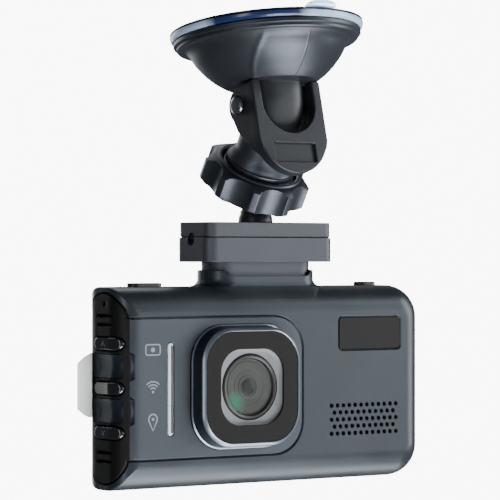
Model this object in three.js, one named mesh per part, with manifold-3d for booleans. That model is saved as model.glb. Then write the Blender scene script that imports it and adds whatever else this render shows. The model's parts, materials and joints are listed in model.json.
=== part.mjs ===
// Dash camera hanging from a magnetic dock holder on a suction bracket.
// Millimetres, +Z up. Origin: centre of the suction face, which sticks to the glass.
// +Y points away from the front lens, towards the display; +X is to the right of someone facing the lens.

import * as THREE from 'three';
import { mergeVertices } from 'three/addons/utils/BufferGeometryUtils.js';
import Module from 'manifold-3d';

const wasm = await Module();
wasm.setup();

// ---------------------------------------------------------------- driving dimensions

const GAP = 0.3;                        // clearance between neighbouring pieces

// Camera body. Its own frame: X = 0 mid-width, Y = 0 front face, Z = 0 mid-height.
const BODY = { width: 103, height: 55, depth: 20 };
const EDGE_ROUND = 8;                   // long top and bottom edges, front and rear
const END_ROUND = 6.5;                  // upright edges at both ends
const CORNER_ROUND = 8.5;               // corners of the closed right-hand end
const WALL = 1.8;
const FRONT_WALL = 2.4;
const SPLIT_Y = 11;                     // plane where front and rear shell meet
const BODY_FROM_ORIGIN = new THREE.Vector3(0, -6.25, -99.5);

const PANEL = { left: -48.4, right: 7.85, halfHeight: 18.9, corner: 9, thick: 1.2 };
const SIDE_PANEL = { thick: 1.5, frontY: 1.6, rearY: 16.8, halfHeight: 25.6, corner: 7 };

const LENS_X = -12.4;
const HOOD = { half: 17, rimHalf: 16.2, mouthHalf: 15.3, corner: 10, frontY: -5.2, rimY: -4.6 };
const BEZEL = { half: 15, innerHalf: 10.4, innerCorner: 6.5, frontY: -5.1, rearY: -4.4 };
const SURROUND = { half: 12.6, floorY: -3.6, rearY: -1.4, bore: 9.2 };
const LENS_RING = { outer: 8.9, inner: 7.7 };

const LIGHT_BAR = { x: -35.8, width: 1.9, low: -12.8, high: 12.4 };
const LASER = { left: 21, right: 42.5, low: 9.5, high: 18.5 };
const GRILLE = { x: 29.65, z: -10.25, holes: 12, rows: 5, pitchX: 2.08, pitchZ: 1.98, hole: 0.6 };

const KEYS = { pitch: 12, middleZ: 0.2, half: 1.65, frontY: 2, rearY: 13.2, proud: 0.6 };
const TOP_BUTTONS = [
  { name: 'power_button', left: -43.5, right: -33.2 },
  { name: 'record_button', left: 33.6, right: 40.2 },
];
const TOP_BUTTON = { y: 9.5, half: 2.2, top: 28.5, foot: 24.6 };

const DISPLAY = { halfWidth: 39, halfHeight: 21.5 };
const CARD = { left: 35.8, right: 50.8, low: -14.2, high: -3.2, frontY: 10.75, rearY: 11.45 };
const CASE_SCREW = { x: 44.5, z: -19 };

// Dock: pedestal on the camera, boss and block of the holder.
const DOCK_Y = 11.5;
const PEDESTAL = { halfWidth: 17.9, halfDepth: 7.2, corner: 6.5, top: 32, floor: 29.7 };
const BOSS = { halfWidth: 16.6, halfDepth: 6, corner: 5, low: 30.1 };
const HOLDER = {
  halfWidth: 21.5, halfDepth: 8.6, corner: 3, wall: 2, low: 34.2, parting: 41, top: 45.25, floor: 1.4,
};
const HOLDER_SCREW = { x: 17.9, step: 5, post: 1.9 };
const MAGNET_X = 10.5;
const PIN_PITCH = 2.6;
const JACK = { y: 12.3, z: 40.6, bore: 1.8 };

// Bracket.
const SUCTION_LEAN = 8.5;               // degrees the suction axis leans towards +Y
const NUT_LEAN = 32.5;                  // degrees the nut's axis leans towards -Y
const LEVER_HANG = 5.5;                 // degrees between the hanging lever and the suction axis
const PAD = { radius: 27.2, film: 0.3, top: -0.5, low: -2.3, tabTurn: -92, tabHalf: 5, tabTop: 1.8 };
const FLANGE = { radius: 26.3, top: -2.5, low: -4.9 };
const DOME_LOW = -16;
const PIN_DROP = -22.3;                 // lever pin below the suction face, along the suction axis
const BALL = new THREE.Vector3(0, DOCK_Y + BODY_FROM_ORIGIN.y, -41.2);
const BALL_RADIUS = 8.5;
const CUP_RADIUS = BALL_RADIUS + 0.35;
const NUT = { radius: 15.4, low: -4.9, top: 3, ring: 3.9, bore: 10.9, mouth: 8.4, lobes: 9 };
const COLLAR_RADIUS = 10.4;
const LEVER = { half: 11.6, slotHalf: 8.75, front: -7.6, back: -4.2, low: -21.2, slotLow: -9.5 };
const CAM_RADIUS = 5.6;
const PIN_RADIUS = 1.5;

// ---------------------------------------------------------------- solid geometry helpers

const ALONG_X = new THREE.Matrix4().makeBasis(
  new THREE.Vector3(0, 1, 0), new THREE.Vector3(0, 0, 1), new THREE.Vector3(1, 0, 0));
const ALONG_Y = new THREE.Matrix4().makeBasis(
  new THREE.Vector3(1, 0, 0), new THREE.Vector3(0, 0, 1), new THREE.Vector3(0, -1, 0));

function signedVolume(position, triangles) {
  const corner = [new THREE.Vector3(), new THREE.Vector3(), new THREE.Vector3()];
  let volume = 0;
  for (let t = 0; t < triangles.length; t += 3) {
    corner.forEach((point, k) => point.fromBufferAttribute(position, triangles[t + k]));
    volume += corner[0].dot(corner[1].cross(corner[2]));
  }
  return volume;
}

// Turns a three.js geometry into a closed solid with its faces pointing out.
function solid(geometry) {
  const bare = new THREE.BufferGeometry();
  bare.setAttribute('position', geometry.attributes.position);
  if (geometry.index) bare.setIndex(geometry.index);
  const merged = mergeVertices(bare, 1e-4);
  const index = merged.index.array;
  let triangles = [];
  for (let t = 0; t < index.length; t += 3) {
    const [a, b, c] = index.slice(t, t + 3);
    if (a !== b && b !== c && c !== a) triangles.push(a, b, c);
  }
  if (signedVolume(merged.attributes.position, triangles) < 0) triangles = triangles.reverse();
  return new wasm.Manifold(new wasm.Mesh({
    numProp: 3,
    vertProperties: new Float32Array(merged.attributes.position.array),
    triVerts: new Uint32Array(triangles),
  }));
}

function geometryOf(body) {
  const mesh = body.getMesh();
  const geometry = new THREE.BufferGeometry();
  geometry.setAttribute('position', new THREE.BufferAttribute(mesh.vertProperties, 3));
  geometry.setIndex(new THREE.BufferAttribute(mesh.triVerts, 1));
  geometry.computeVertexNormals();
  return geometry;
}

function joined(bodies) {
  return bodies.reduce((whole, body) => whole.add(body));
}

function cut(body, ...tools) {
  return tools.reduce((rest, tool) => rest.subtract(tool), body);
}

function box(x0, x1, y0, y1, z0, z1) {
  const geometry = new THREE.BoxGeometry(x1 - x0, y1 - y0, z1 - z0);
  geometry.translate((x0 + x1) / 2, (y0 + y1) / 2, (z0 + z1) / 2);
  return solid(geometry);
}

// Outline with rounded corners; radii run low-left, low-right, high-right, high-left.
function roundedOutline(left, right, low, high, radii) {
  const [a, b, c, d] = Array.isArray(radii) ? radii : [radii, radii, radii, radii];
  const shape = new THREE.Shape();
  shape.moveTo(left + a, low);
  shape.absarc(right - b, low + b, b, -Math.PI / 2, 0);
  shape.absarc(right - c, high - c, c, 0, Math.PI / 2);
  shape.absarc(left + d, high - d, d, Math.PI / 2, Math.PI);
  shape.absarc(left + a, low + a, a, Math.PI, 1.5 * Math.PI);
  return shape;
}

function roundedSquare(x, z, half, corner) {
  return roundedOutline(x - half, x + half, z - half, z + half, corner);
}

function circle(u, v, radius, sides = 16) {
  const points = [];
  for (let k = 0; k < sides; k += 1) {
    const angle = (2 * Math.PI * k) / sides;
    points.push(new THREE.Vector2(u + radius * Math.cos(angle), v + radius * Math.sin(angle)));
  }
  return new THREE.Shape(points);
}

function polygon(points) {
  return new THREE.Shape(points.map(([u, v]) => new THREE.Vector2(u, v)));
}

// Extrudes an outline along an axis: (y, z) along x, (x, z) along y, (x, y) along z.
function prism(axis, shape, from, to, arcSteps = 2) {
  const geometry = new THREE.ExtrudeGeometry(shape, {
    depth: to - from, bevelEnabled: false, curveSegments: arcSteps,
  });
  if (axis === 'x') geometry.applyMatrix4(ALONG_X).translate(from, 0, 0);
  if (axis === 'y') geometry.applyMatrix4(ALONG_Y).translate(0, to, 0);
  if (axis === 'z') geometry.translate(0, 0, from);
  return solid(geometry);
}

// Solid of revolution about Z; the profile holds (radius, z) pairs.
function turnedGeometry(profile, steps = 32) {
  const points = profile.map(([radius, z]) => new THREE.Vector2(radius, z));
  return new THREE.LatheGeometry(points, steps).rotateX(Math.PI / 2);
}

function turned(profile, steps) {
  return solid(turnedGeometry(profile, steps));
}

// Solid of revolution about an axis along Y, for the lens pieces; the profile holds (radius, y) pairs.
function turnedAlongY(profile, steps = 24) {
  const geometry = turnedGeometry(profile, steps).rotateX(-Math.PI / 2);
  return solid(geometry.translate(LENS_X, 0, 0));
}

function arcPoints(centreR, centreZ, radius, fromDegrees, toDegrees, steps) {
  const points = [];
  for (let k = 0; k <= steps; k += 1) {
    const angle = THREE.MathUtils.degToRad(fromDegrees + ((toDegrees - fromDegrees) * k) / steps);
    points.push([centreR + radius * Math.cos(angle), centreZ + radius * Math.sin(angle)]);
  }
  return points;
}

// Closed solid through rings of equal point count, with flat fans over both ends.
function lofted(rings) {
  const count = rings[0].length;
  const points = rings.flat();
  const triangles = [];
  for (let r = 0; r + 1 < rings.length; r += 1) {
    for (let k = 0; k < count; k += 1) {
      const next = (k + 1) % count;
      const [a, b] = [r * count + k, r * count + next];
      triangles.push(a, b, b + count, a, b + count, a + count);
    }
  }
  [rings[0], rings[rings.length - 1]].forEach((ring, end) => {
    const centre = ring.reduce((sum, point) => sum.add(point), new THREE.Vector3()).divideScalar(count);
    const first = end * (rings.length - 1) * count;
    points.push(centre);
    for (let k = 0; k < count; k += 1) {
      const edge = [first + k, first + ((k + 1) % count)];
      if (end === 0) edge.reverse();
      triangles.push(points.length - 1, ...edge);
    }
  });
  const geometry = new THREE.BufferGeometry().setFromPoints(points);
  geometry.setIndex(triangles);
  return solid(geometry);
}

// ---------------------------------------------------------------- materials and nodes

function finish(color, roughness, metalness = 0) {
  return new THREE.MeshStandardMaterial({ color, roughness, metalness });
}

const SLATE = finish(0x4e5964, 0.42, 0.35);
const PANEL_SLATE = finish(0x566270, 0.5, 0.3);
const GUNMETAL = finish(0x4a515c, 0.38, 0.45);
const GLOSS_BLACK = finish(0x08090b, 0.12);
const MATTE_BLACK = finish(0x1b1b1a, 0.6);
const FUNNEL_GREY = finish(0x7a7f82, 0.7);
const SATIN_BLACK = finish(0x22262b, 0.4);
const GLASS = finish(0x3c4043, 0.05);
const STEEL = finish(0xb9bcc0, 0.3, 1);
const CIRCUIT_GREEN = finish(0x1f5a3c, 0.6);
const CERAMIC = finish(0xd8d2c2, 0.7);
const GOLD = finish(0xd0a850, 0.3, 1);
const WHITE_GUIDE = finish(0xe4e6e6, 0.35);
const PAD_GEL = finish(0x9db6cf, 0.2);
const FILM_BLUE = finish(0x3f6fb5, 0.25);
const TAB_WHITE = finish(0xc9cdc8, 0.4);

function node(name, body, material) {
  const mesh = new THREE.Mesh(geometryOf(body), material);
  mesh.name = name;
  return mesh;
}

function assembly(...children) {
  const group = new THREE.Group();
  group.add(...children);
  return group;
}

// ---------------------------------------------------------------- camera body

// The body's outer form, shrunk all round by `inset`.
function bodyForm(inset) {
  const halfWidth = BODY.width / 2 - inset;
  const halfHeight = BODY.height / 2 - inset;
  const [front, rear] = [inset, BODY.depth - inset];
  const edge = EDGE_ROUND - inset;
  const end = END_ROUND - inset;
  const corner = CORNER_ROUND - inset;
  const square = 0.5;
  const endOutline = roundedOutline(front, rear, -halfHeight, halfHeight, edge);
  const section = prism('x', endOutline, -halfWidth, halfWidth);
  const corners = [square, corner, corner, square];
  const face = roundedOutline(-halfWidth, halfWidth, -halfHeight, halfHeight, corners);
  const plan = roundedOutline(-halfWidth, halfWidth, front, rear, end);
  const faceForm = prism('y', face, front, rear);
  const planForm = prism('z', plan, -halfHeight, halfHeight);
  return section.intersect(faceForm).intersect(planForm);
}

function panelOutline(grow) {
  const corner = PANEL.corner + grow;
  const half = PANEL.halfHeight + grow;
  return roundedOutline(PANEL.left - grow, PANEL.right + grow, -half, half, [0.5, corner, corner, 0.5]);
}

function skin(thickness) {
  return bodyForm(0).subtract(bodyForm(thickness));
}

function frontPanel() {
  const depth = END_ROUND;
  const panel = skin(PANEL.thick).intersect(prism('y', panelOutline(0), -1, depth));
  const hoodHole = prism('y', roundedSquare(LENS_X, 0, HOOD.half + GAP, HOOD.corner), -1, depth);
  return cut(panel, hoodHole, lightBar(0.15, 3));
}

function panelRecess() {
  return skin(PANEL.thick + 0.2).intersect(prism('y', panelOutline(GAP), -1, END_ROUND));
}

function lightBar(grow, depth) {
  const half = LIGHT_BAR.width / 2 + grow;
  const outline = roundedOutline(
    LIGHT_BAR.x - half, LIGHT_BAR.x + half, LIGHT_BAR.low - grow, LIGHT_BAR.high + grow, half);
  return prism('y', outline, grow > 0 ? -1 : 0.3, depth, 1);
}

// Outline of the black panel in the open left-hand end: the arch, and the stretch that runs
// forward between the front panel's edges.
function sidePanelPrism(grow, from, to) {
  const high = SIDE_PANEL.halfHeight + grow;
  const arch = roundedOutline(
    SIDE_PANEL.frontY - grow, SIDE_PANEL.rearY + grow, -high, high, SIDE_PANEL.corner);
  const half = PANEL.halfHeight + grow;
  return prism('x', arch, from, to).add(box(from, to, -1, 8, -half, half));
}

const SIDE_EDGE_X = PANEL.left - GAP;

function sideKeyPanel() {
  const left = -BODY.width / 2;
  const panel = skin(SIDE_PANEL.thick).intersect(sidePanelPrism(0, left - 1, SIDE_EDGE_X));
  const holes = keyPositions().map((z) => keyPrism(z, GAP, left - 2, left + 5));
  return cut(panel, ...holes);
}

function keyPositions() {
  return [1, 0, -1].map((step) => KEYS.middleZ + step * KEYS.pitch);
}

function keyPrism(z, grow, from, to) {
  const half = KEYS.half + grow;
  const outline = roundedOutline(KEYS.frontY - grow, KEYS.rearY + grow, z - half, z + half, half);
  return prism('x', outline, from, to, 2);
}

function sideKey(z) {
  const left = -BODY.width / 2;
  return bodyForm(-KEYS.proud).intersect(keyPrism(z, 0, left - 1, left + 2.1));
}

function topButtonPrism(button, grow, from, to) {
  const half = TOP_BUTTON.half + grow;
  const outline = roundedOutline(
    button.left - grow, button.right + grow, TOP_BUTTON.y - half, TOP_BUTTON.y + half, half);
  return prism('z', outline, from, to);
}

function pedestal() {
  const { halfWidth, halfDepth, corner, top } = PEDESTAL;
  const outline = roundedOutline(-halfWidth, halfWidth, DOCK_Y - halfDepth, DOCK_Y + halfDepth, corner);
  return prism('z', outline, BODY.height / 2 - 1.5, top);
}

// Seat of the holder's boss: a pocket between two end cheeks, open to the front and rear.
function pedestalPocket() {
  const reach = BOSS.halfWidth + GAP;
  const depth = BOSS.halfDepth + GAP;
  const seat = roundedOutline(-reach, reach, DOCK_Y - depth, DOCK_Y + depth, BOSS.corner);
  const open = BOSS.halfWidth - BOSS.corner;
  const above = PEDESTAL.top + 1;
  const channel = box(-open, open, -1, BODY.depth + 1, PEDESTAL.floor, above);
  return prism('z', seat, PEDESTAL.floor, above).add(channel);
}

function magnetBlock(side, halfX, halfY, low, high) {
  const x = side * MAGNET_X;
  return box(x - halfX, x + halfX, DOCK_Y - halfY, DOCK_Y + halfY, low, high);
}

function magnetWells(low, high) {
  return joined([-1, 1].map((side) => magnetBlock(side, 4.8, 4.3, low, high)));
}

// Four contact pins in a row, standing in one carrier bar when `bar` gives its lower and upper face.
function contactRow(radius, low, high, bar) {
  const pins = [-1.5, -0.5, 0.5, 1.5].map((step) => (
    prism('z', circle(step * PIN_PITCH, DOCK_Y, radius, 8), low, high)));
  if (bar) pins.push(box(-2 * PIN_PITCH, 2 * PIN_PITCH, DOCK_Y - 1.4, DOCK_Y + 1.4, ...bar));
  return joined(pins);
}

// Steel plate in the pedestal that the holder's magnets pull on, with a window for the contacts.
function dockPlate(grow, low, high) {
  const [halfX, halfY] = [15 + grow, 4 + grow];
  const window = box(grow - 6.2, 6.2 - grow, DOCK_Y - 2 + grow, DOCK_Y + 2 - grow, low - 1, high + 1);
  return box(-halfX, halfX, DOCK_Y - halfY, DOCK_Y + halfY, low, high).subtract(window);
}

function atCaseScrews(makeOne) {
  return joined([-1, 1].map((side) => makeOne(side * CASE_SCREW.x, CASE_SCREW.z)));
}

function caseScrew(side) {
  const [x, z] = [side * CASE_SCREW.x, CASE_SCREW.z];
  return prism('y', circle(x, z, 1, 8), 7.2, 17.4).add(prism('y', circle(x, z, 1.9, 12), 17.4, 18.5));
}

function grilleHoles() {
  const holes = [];
  for (let row = 0; row < GRILLE.rows; row += 1) {
    const count = GRILLE.holes - (row % 2);
    const z = GRILLE.z + (row - (GRILLE.rows - 1) / 2) * GRILLE.pitchZ;
    for (let k = 0; k < count; k += 1) {
      const x = GRILLE.x + (k - (count - 1) / 2) * GRILLE.pitchX;
      holes.push(prism('y', circle(x, z, GRILLE.hole, 6), -1, FRONT_WALL + 1));
    }
  }
  return joined(holes);
}

function casing() {
  const right = BODY.width / 2;
  const left = -right;
  const behindFrontWall = box(left, right, FRONT_WALL, BODY.depth, -BODY.height, BODY.height);
  const cavity = bodyForm(WALL).intersect(behindFrontWall);
  const bosses = atCaseScrews((x, z) => (
    prism('y', circle(x, z, 2.6, 12), FRONT_WALL - 0.4, BODY.depth - WALL + 0.4)));
  const pilots = atCaseScrews((x, z) => prism('y', circle(x, z, 1.3, 8), 6.7, BODY.depth + 1));
  const headWells = atCaseScrews((x, z) => prism('y', circle(x, z, 2.2, 12), 17.2, BODY.depth + 1));
  const cardSlot = box(
    CARD.right - 3, right + 1, CARD.frontY - GAP, CARD.rearY + GAP, CARD.low - GAP, CARD.high + GAP);
  const glass = DISPLAY.halfWidth + GAP;
  const glassHigh = DISPLAY.halfHeight + GAP;
  const displayPocket = box(-glass, glass, 18.6, BODY.depth + 1, -glassHigh, glassHigh);
  const frameWidth = 3;
  const displayOpening = box(
    frameWidth - glass, glass - frameWidth, 17, 19, frameWidth - glassHigh, glassHigh - frameWidth);
  const laserPocket = prism('y', roundedOutline(
    LASER.left - 0.2, LASER.right + 0.2, LASER.low - 0.2, LASER.high + 0.2, 1), -1, 1.2);
  const ledge = 2;
  const laserOpening = box(
    LASER.left + ledge, LASER.right - ledge, 1, FRONT_WALL + 1, LASER.low + ledge, LASER.high - ledge);
  const panelHigh = PANEL.halfHeight + GAP;
  const solidCase = bodyForm(0).add(pedestal()).subtract(cavity).add(bosses);
  return cut(
    solidCase,
    pilots,
    headWells,
    cardSlot,
    displayPocket,
    displayOpening,
    laserPocket,
    laserOpening,
    panelRecess(),
    sidePanelPrism(GAP, left - 1, left + 4).add(box(left - 1, PANEL.left, -1, 8, -panelHigh, panelHigh)),
    prism('y', circle(LENS_X, 0, 9.6, 24), -1, FRONT_WALL + 1),
    pedestalPocket(),
    dockPlate(0.3, 28, PEDESTAL.floor + 1),
    contactRow(1.2, 20, PEDESTAL.floor + 1),
    ...TOP_BUTTONS.map((button) => topButtonPrism(button, GAP, 20, 30)),
  );
}

function shells() {
  const whole = casing();
  const far = 200;
  const frontHalf = whole.intersect(box(-far, far, -far, SPLIT_Y, -far, far));
  const rearHalf = whole.intersect(box(-far, far, SPLIT_Y, far, -far, far));
  return [
    node('front_shell', frontHalf.subtract(grilleHoles()), SLATE),
    node('rear_shell', rearHalf, SLATE),
  ];
}

// ---------------------------------------------------------------- lens and front fittings

function ringAt(y, half, corner) {
  const points = roundedSquare(LENS_X, 0, half, corner).getPoints(2);
  points.pop();
  return points.map((point) => new THREE.Vector3(point.x, y, point.y));
}

function lensHood() {
  const outside = lofted([
    ringAt(PANEL.thick + 0.1, HOOD.half, HOOD.corner),
    ringAt(0, HOOD.half, HOOD.corner),
    ringAt(HOOD.rimY, HOOD.rimHalf, HOOD.corner - 0.6),
    ringAt(HOOD.frontY, HOOD.mouthHalf + GAP, HOOD.corner - 1),
  ]);
  const mouthOutline = roundedSquare(LENS_X, 0, HOOD.mouthHalf, HOOD.corner - 1.2);
  const mouth = prism('y', mouthOutline, -9, BEZEL.rearY + 0.1);
  const throat = prism('y', roundedSquare(LENS_X, 0, SURROUND.half + GAP, 8), -9, 9);
  return cut(outside, mouth, throat);
}

function lensBezel() {
  const outline = roundedSquare(LENS_X, 0, BEZEL.half, HOOD.corner - 1.4);
  const plate = prism('y', outline, BEZEL.frontY, BEZEL.rearY);
  return plate.subtract(bezelHole(0));
}

function bezelHole(to) {
  return prism('y', roundedSquare(LENS_X, 0, BEZEL.innerHalf, BEZEL.innerCorner), -9, to);
}

function lensSurround() {
  const outline = roundedSquare(LENS_X, 0, SURROUND.half, 7.5);
  const block = prism('y', outline, BEZEL.rearY + 0.1, SURROUND.rearY);
  return cut(block, bezelHole(SURROUND.floorY), prism('y', circle(LENS_X, 0, SURROUND.bore, 32), -9, 9));
}

function lensPieces() {
  const ring = turnedAlongY([
    [LENS_RING.inner, -3.9], [LENS_RING.outer - 0.5, -3.9], [LENS_RING.outer, -3.5],
    [LENS_RING.outer, -1.4], [LENS_RING.inner, -1.4], [LENS_RING.inner, -3.9],
  ]);
  const glass = turnedAlongY([[0, -3.4], [4, -3.2], [7.4, -2.6], [7.4, -1.6], [0, -1.6]]);
  const barrel = turnedAlongY([
    [7.3, -1.2], [8.7, -1.2], [8.7, 3], [6.6, 3], [6.6, 9.2], [5.2, 9.2],
    [5.2, 2.4], [2.7, 2.4], [2.7, 0.8], [7.3, -1.2],
  ]);
  const innerLens = turnedAlongY([[0, 0.9], [1.6, 1.1], [2.4, 1.6], [2.4, 2.3], [0, 2.3]], 16);
  const rearLens = turnedAlongY([[0, 4.2], [4.9, 5], [4.9, 6.6], [0, 7.2]], 16);
  return [
    node('lens_ring', ring, SATIN_BLACK),
    node('front_lens', glass, GLASS),
    node('lens_barrel', barrel, MATTE_BLACK),
    node('inner_lens', innerLens, GLASS),
    node('rear_lens', rearLens, GLASS),
  ];
}

function frontFittings() {
  const laser = roundedOutline(LASER.left, LASER.right, LASER.low, LASER.high, 0.9);
  const laserX = (LASER.left + LASER.right) / 2;
  const laserZ = (LASER.low + LASER.high) / 2;
  const eyes = [-5, 5].map((step) => prism('y', circle(laserX + step, laserZ, 2.2, 12), 2.8, 3.6));
  const laserSensor = box(laserX - 8, laserX + 8, 3.6, 8, laserZ - 3.5, laserZ + 3.5);
  return [
    node('front_panel', frontPanel(), PANEL_SLATE),
    node('light_guide', lightBar(0, PANEL.thick + 0.1), WHITE_GUIDE),
    node('lens_hood', lensHood(), SLATE),
    node('lens_bezel', lensBezel(), MATTE_BLACK),
    node('lens_surround', lensSurround(), FUNNEL_GREY),
    ...lensPieces(),
    node('laser_window', prism('y', laser, 0.1, 1.1), GLOSS_BLACK),
    node('laser_sensor', joined([laserSensor, ...eyes]), SATIN_BLACK),
  ];
}

// ---------------------------------------------------------------- buttons

function buttons() {
  const names = ['key_up', 'key_ok', 'key_down'];
  const side = keyPositions().map((z, k) => node(names[k], sideKey(z), GLOSS_BLACK));
  const top = TOP_BUTTONS.map((button) => (
    node(button.name, topButtonPrism(button, 0, TOP_BUTTON.foot, TOP_BUTTON.top), GLOSS_BLACK)));
  return [...side, ...top];
}

function keySwitches() {
  const boardX = -46.9;
  const sideBoard = box(boardX - 1, boardX, 4, 14, -14.5, 14.5);
  const domes = keyPositions().map((z) => prism('x', circle(8, z, 1.4, 10), boardX - 1.9, boardX - 1));
  const topBoard = box(-41, 39.5, 7, 11.5, 19.7, 20.6);
  const topDomes = TOP_BUTTONS.map((button) => {
    const middle = (button.left + button.right) / 2;
    return box(middle - 2, middle + 2, 7.4, 11.4, 20.6, 23.9);
  });
  return [
    node('side_key_board', joined([sideBoard, ...domes]), CIRCUIT_GREEN),
    node('top_key_board', joined([topBoard, ...topDomes]), CIRCUIT_GREEN),
  ];
}

// ---------------------------------------------------------------- inside the camera

function electronics() {
  const sensorChip = box(LENS_X - 4, LENS_X + 4, 9.3, 9.7, -3, 3);
  const sensorBoard = box(LENS_X - 10, LENS_X + 10, 9.7, 10.9, -10, 10).add(sensorChip);
  const capacitors = [8, 22.5].map((x) => prism('x', circle(7.6, -20.3, 3.5, 12), x, x + 14));
  const capacitorStrap = box(21, 23.5, 5.6, 9.6, -22, -18.6);
  const speaker = prism('y', roundedOutline(GRILLE.x - 12, GRILLE.x + 12, -15.4, -5.1, 4), 3, 8);
  const socket = box(32, 47.4, 9.9, 12, -16, -1.5).subtract(
    box(CARD.left - GAP, 49, CARD.frontY - GAP, CARD.rearY + GAP, CARD.low - GAP, CARD.high + GAP));
  return [
    node('sensor_board', sensorBoard, CIRCUIT_GREEN),
    node('main_board', box(-40.5, 40.5, 12, 13.2, -22, 22), CIRCUIT_GREEN),
    node('heat_spreader', box(0, 14, 8, 12, -12, 12), STEEL),
    node('radar_antenna', box(16, 44, 9.2, 10.2, -0.8, 19.4), CERAMIC),
    node('gps_antenna', box(18, 32, 5.3, 11.3, 20.8, 24.6), CERAMIC),
    node('backup_capacitors', joined([...capacitors, capacitorStrap]), SATIN_BLACK),
    node('speaker', speaker, SATIN_BLACK),
    node('card_socket', socket, STEEL),
    ...keySwitches(),
  ];
}

function displayPieces() {
  const { halfWidth, halfHeight } = DISPLAY;
  return [
    node('display_module', box(-35, 35, 13.6, 17.9, -18, 18), SATIN_BLACK),
    node('display_glass', box(-halfWidth, halfWidth, 18.7, 19.9, -halfHeight, halfHeight), GLOSS_BLACK),
    node('screen_film', screenFilm(), TAB_WHITE),
  ];
}

// Clear film on the display; a pull tab follows the rounded rear edge and stands out to the left.
function screenFilm() {
  const thick = 0.25;
  const { halfWidth, halfHeight } = DISPLAY;
  const low = BODY.depth + 0.1;
  const sheet = box(-halfWidth, halfWidth, low, low + thick, -halfHeight, halfHeight);
  const centreX = -BODY.width / 2 + END_ROUND;
  const centreY = BODY.depth - END_ROUND;
  const inner = arcPoints(centreX, centreY, END_ROUND + 0.35, 90, 172, 6);
  const outer = arcPoints(centreX, centreY, END_ROUND + 0.35 + thick, 90, 172, 6);
  inner[0][1] = low;
  outer[0][1] = low + thick;
  const tipX = -57;
  const strip = [
    [-30, low], ...inner, [-52.3, 13.9], [tipX, 13.3],
    [tipX, 13.3 + thick], [-52.4, 14.2], ...outer.reverse(), [-30, low + thick],
  ];
  const tab = polygon([
    [-30, -8], [-52, -8], [-56, -6.4], [-57.5, -5], [-57.5, 6.2], [-56, 7.8], [-52, 9.5], [-30, 9.5],
  ]);
  return prism('z', polygon(strip), -9, 10).intersect(prism('y', tab, 10, 22)).add(sheet);
}

function caseHardware() {
  return [
    node('case_screw_left', caseScrew(-1), STEEL),
    node('case_screw_right', caseScrew(1), STEEL),
    node('dock_plate', dockPlate(0, 28.2, 29.6), STEEL),
    node('dock_contacts', contactRow(0.9, 24.4, 29.6, [24.2, 25.4]), GOLD),
  ];
}

function camera() {
  const card = box(CARD.left, CARD.right, CARD.frontY, CARD.rearY, CARD.low, CARD.high);
  return assembly(
    ...shells(),
    ...frontFittings(),
    node('side_key_panel', sideKeyPanel(), GLOSS_BLACK),
    ...buttons(),
    ...electronics(),
    ...displayPieces(),
    ...caseHardware(),
    node('memory_card', card, SATIN_BLACK),
  );
}

// ---------------------------------------------------------------- dock holder

function holderOutline(inset) {
  const x = HOLDER.halfWidth - inset;
  const y = HOLDER.halfDepth - inset;
  return roundedOutline(-x, x, DOCK_Y - y, DOCK_Y + y, Math.max(HOLDER.corner - inset, 1));
}

// The two screws stand diagonally: the left one near the front, the right one near the rear.
function holderScrewPrism(side, radius, low, high) {
  const x = side * HOLDER_SCREW.x;
  const y = DOCK_Y + side * HOLDER_SCREW.step;
  return prism('z', circle(x, y, radius, 10), low, high);
}

function atHolderScrews(radius, low, high) {
  return joined([-1, 1].map((side) => holderScrewPrism(side, radius, low, high)));
}

function holder() {
  const { low, parting, top, wall } = HOLDER;
  const jackBore = prism('x', circle(JACK.y, JACK.z, JACK.bore, 16), -30, -19);
  const boss = roundedOutline(
    -BOSS.halfWidth, BOSS.halfWidth, DOCK_Y - BOSS.halfDepth, DOCK_Y + BOSS.halfDepth, BOSS.corner);
  const housing = cut(
    prism('z', holderOutline(0), low, parting)
      .add(prism('z', boss, BOSS.low, low))
      .subtract(prism('z', holderOutline(wall), low + HOLDER.floor, parting + 1))
      .add(atHolderScrews(HOLDER_SCREW.post, low + 1, parting)),
    jackBore,
    magnetWells(BOSS.low - 1, 33.1),
    contactRow(0.8, BOSS.low - 1, low + 2),
    atHolderScrews(1.1, low - 1, parting + 1),
    atHolderScrews(2, low - 1, low + 1.2),
  );
  const cover = cut(
    prism('z', holderOutline(0.3), parting + GAP, top)
      .subtract(prism('z', holderOutline(wall), parting, top - 1.85))
      .add(atHolderScrews(HOLDER_SCREW.post, parting + GAP, top - 1)),
    jackBore,
    atHolderScrews(1.1, parting, top - 2),
    prism('z', circle(0, DOCK_Y, 1.9, 16), parting, top + 1),
  );
  const socket = prism('x', circle(JACK.y, JACK.z, JACK.bore - 0.2, 12), -22, -13);
  const jack = box(-19.2, -11, JACK.y - 3, JACK.y + 3, JACK.z - 2, JACK.z + 2).subtract(socket);
  const screw = (side) => (
    holderScrewPrism(side, 0.9, low + 0.9, top - 2.4).add(holderScrewPrism(side, 1.7, low, low + 0.9)));
  const magnet = (side) => magnetBlock(side, 4.5, 4, 30.4, 32.8);
  return assembly(
    node('holder_cover', cover, GUNMETAL),
    node('holder_housing', housing, GUNMETAL),
    node('holder_board', box(-15.6, 15.6, 6, 16.5, 37.5, 38.5), CIRCUIT_GREEN),
    node('power_jack', jack, SATIN_BLACK),
    node('magnet_left', magnet(-1), STEEL),
    node('magnet_right', magnet(1), STEEL),
    node('holder_pins', contactRow(0.5, 29.85, 37.5, [35.9, 37.2]), GOLD),
    node('holder_screw_left', screw(-1), STEEL),
    node('holder_screw_right', screw(1), STEEL),
  );
}

// ---------------------------------------------------------------- ball joint

const BALL_Z_IN_BODY = BALL.z - BODY_FROM_ORIGIN.z;

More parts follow.
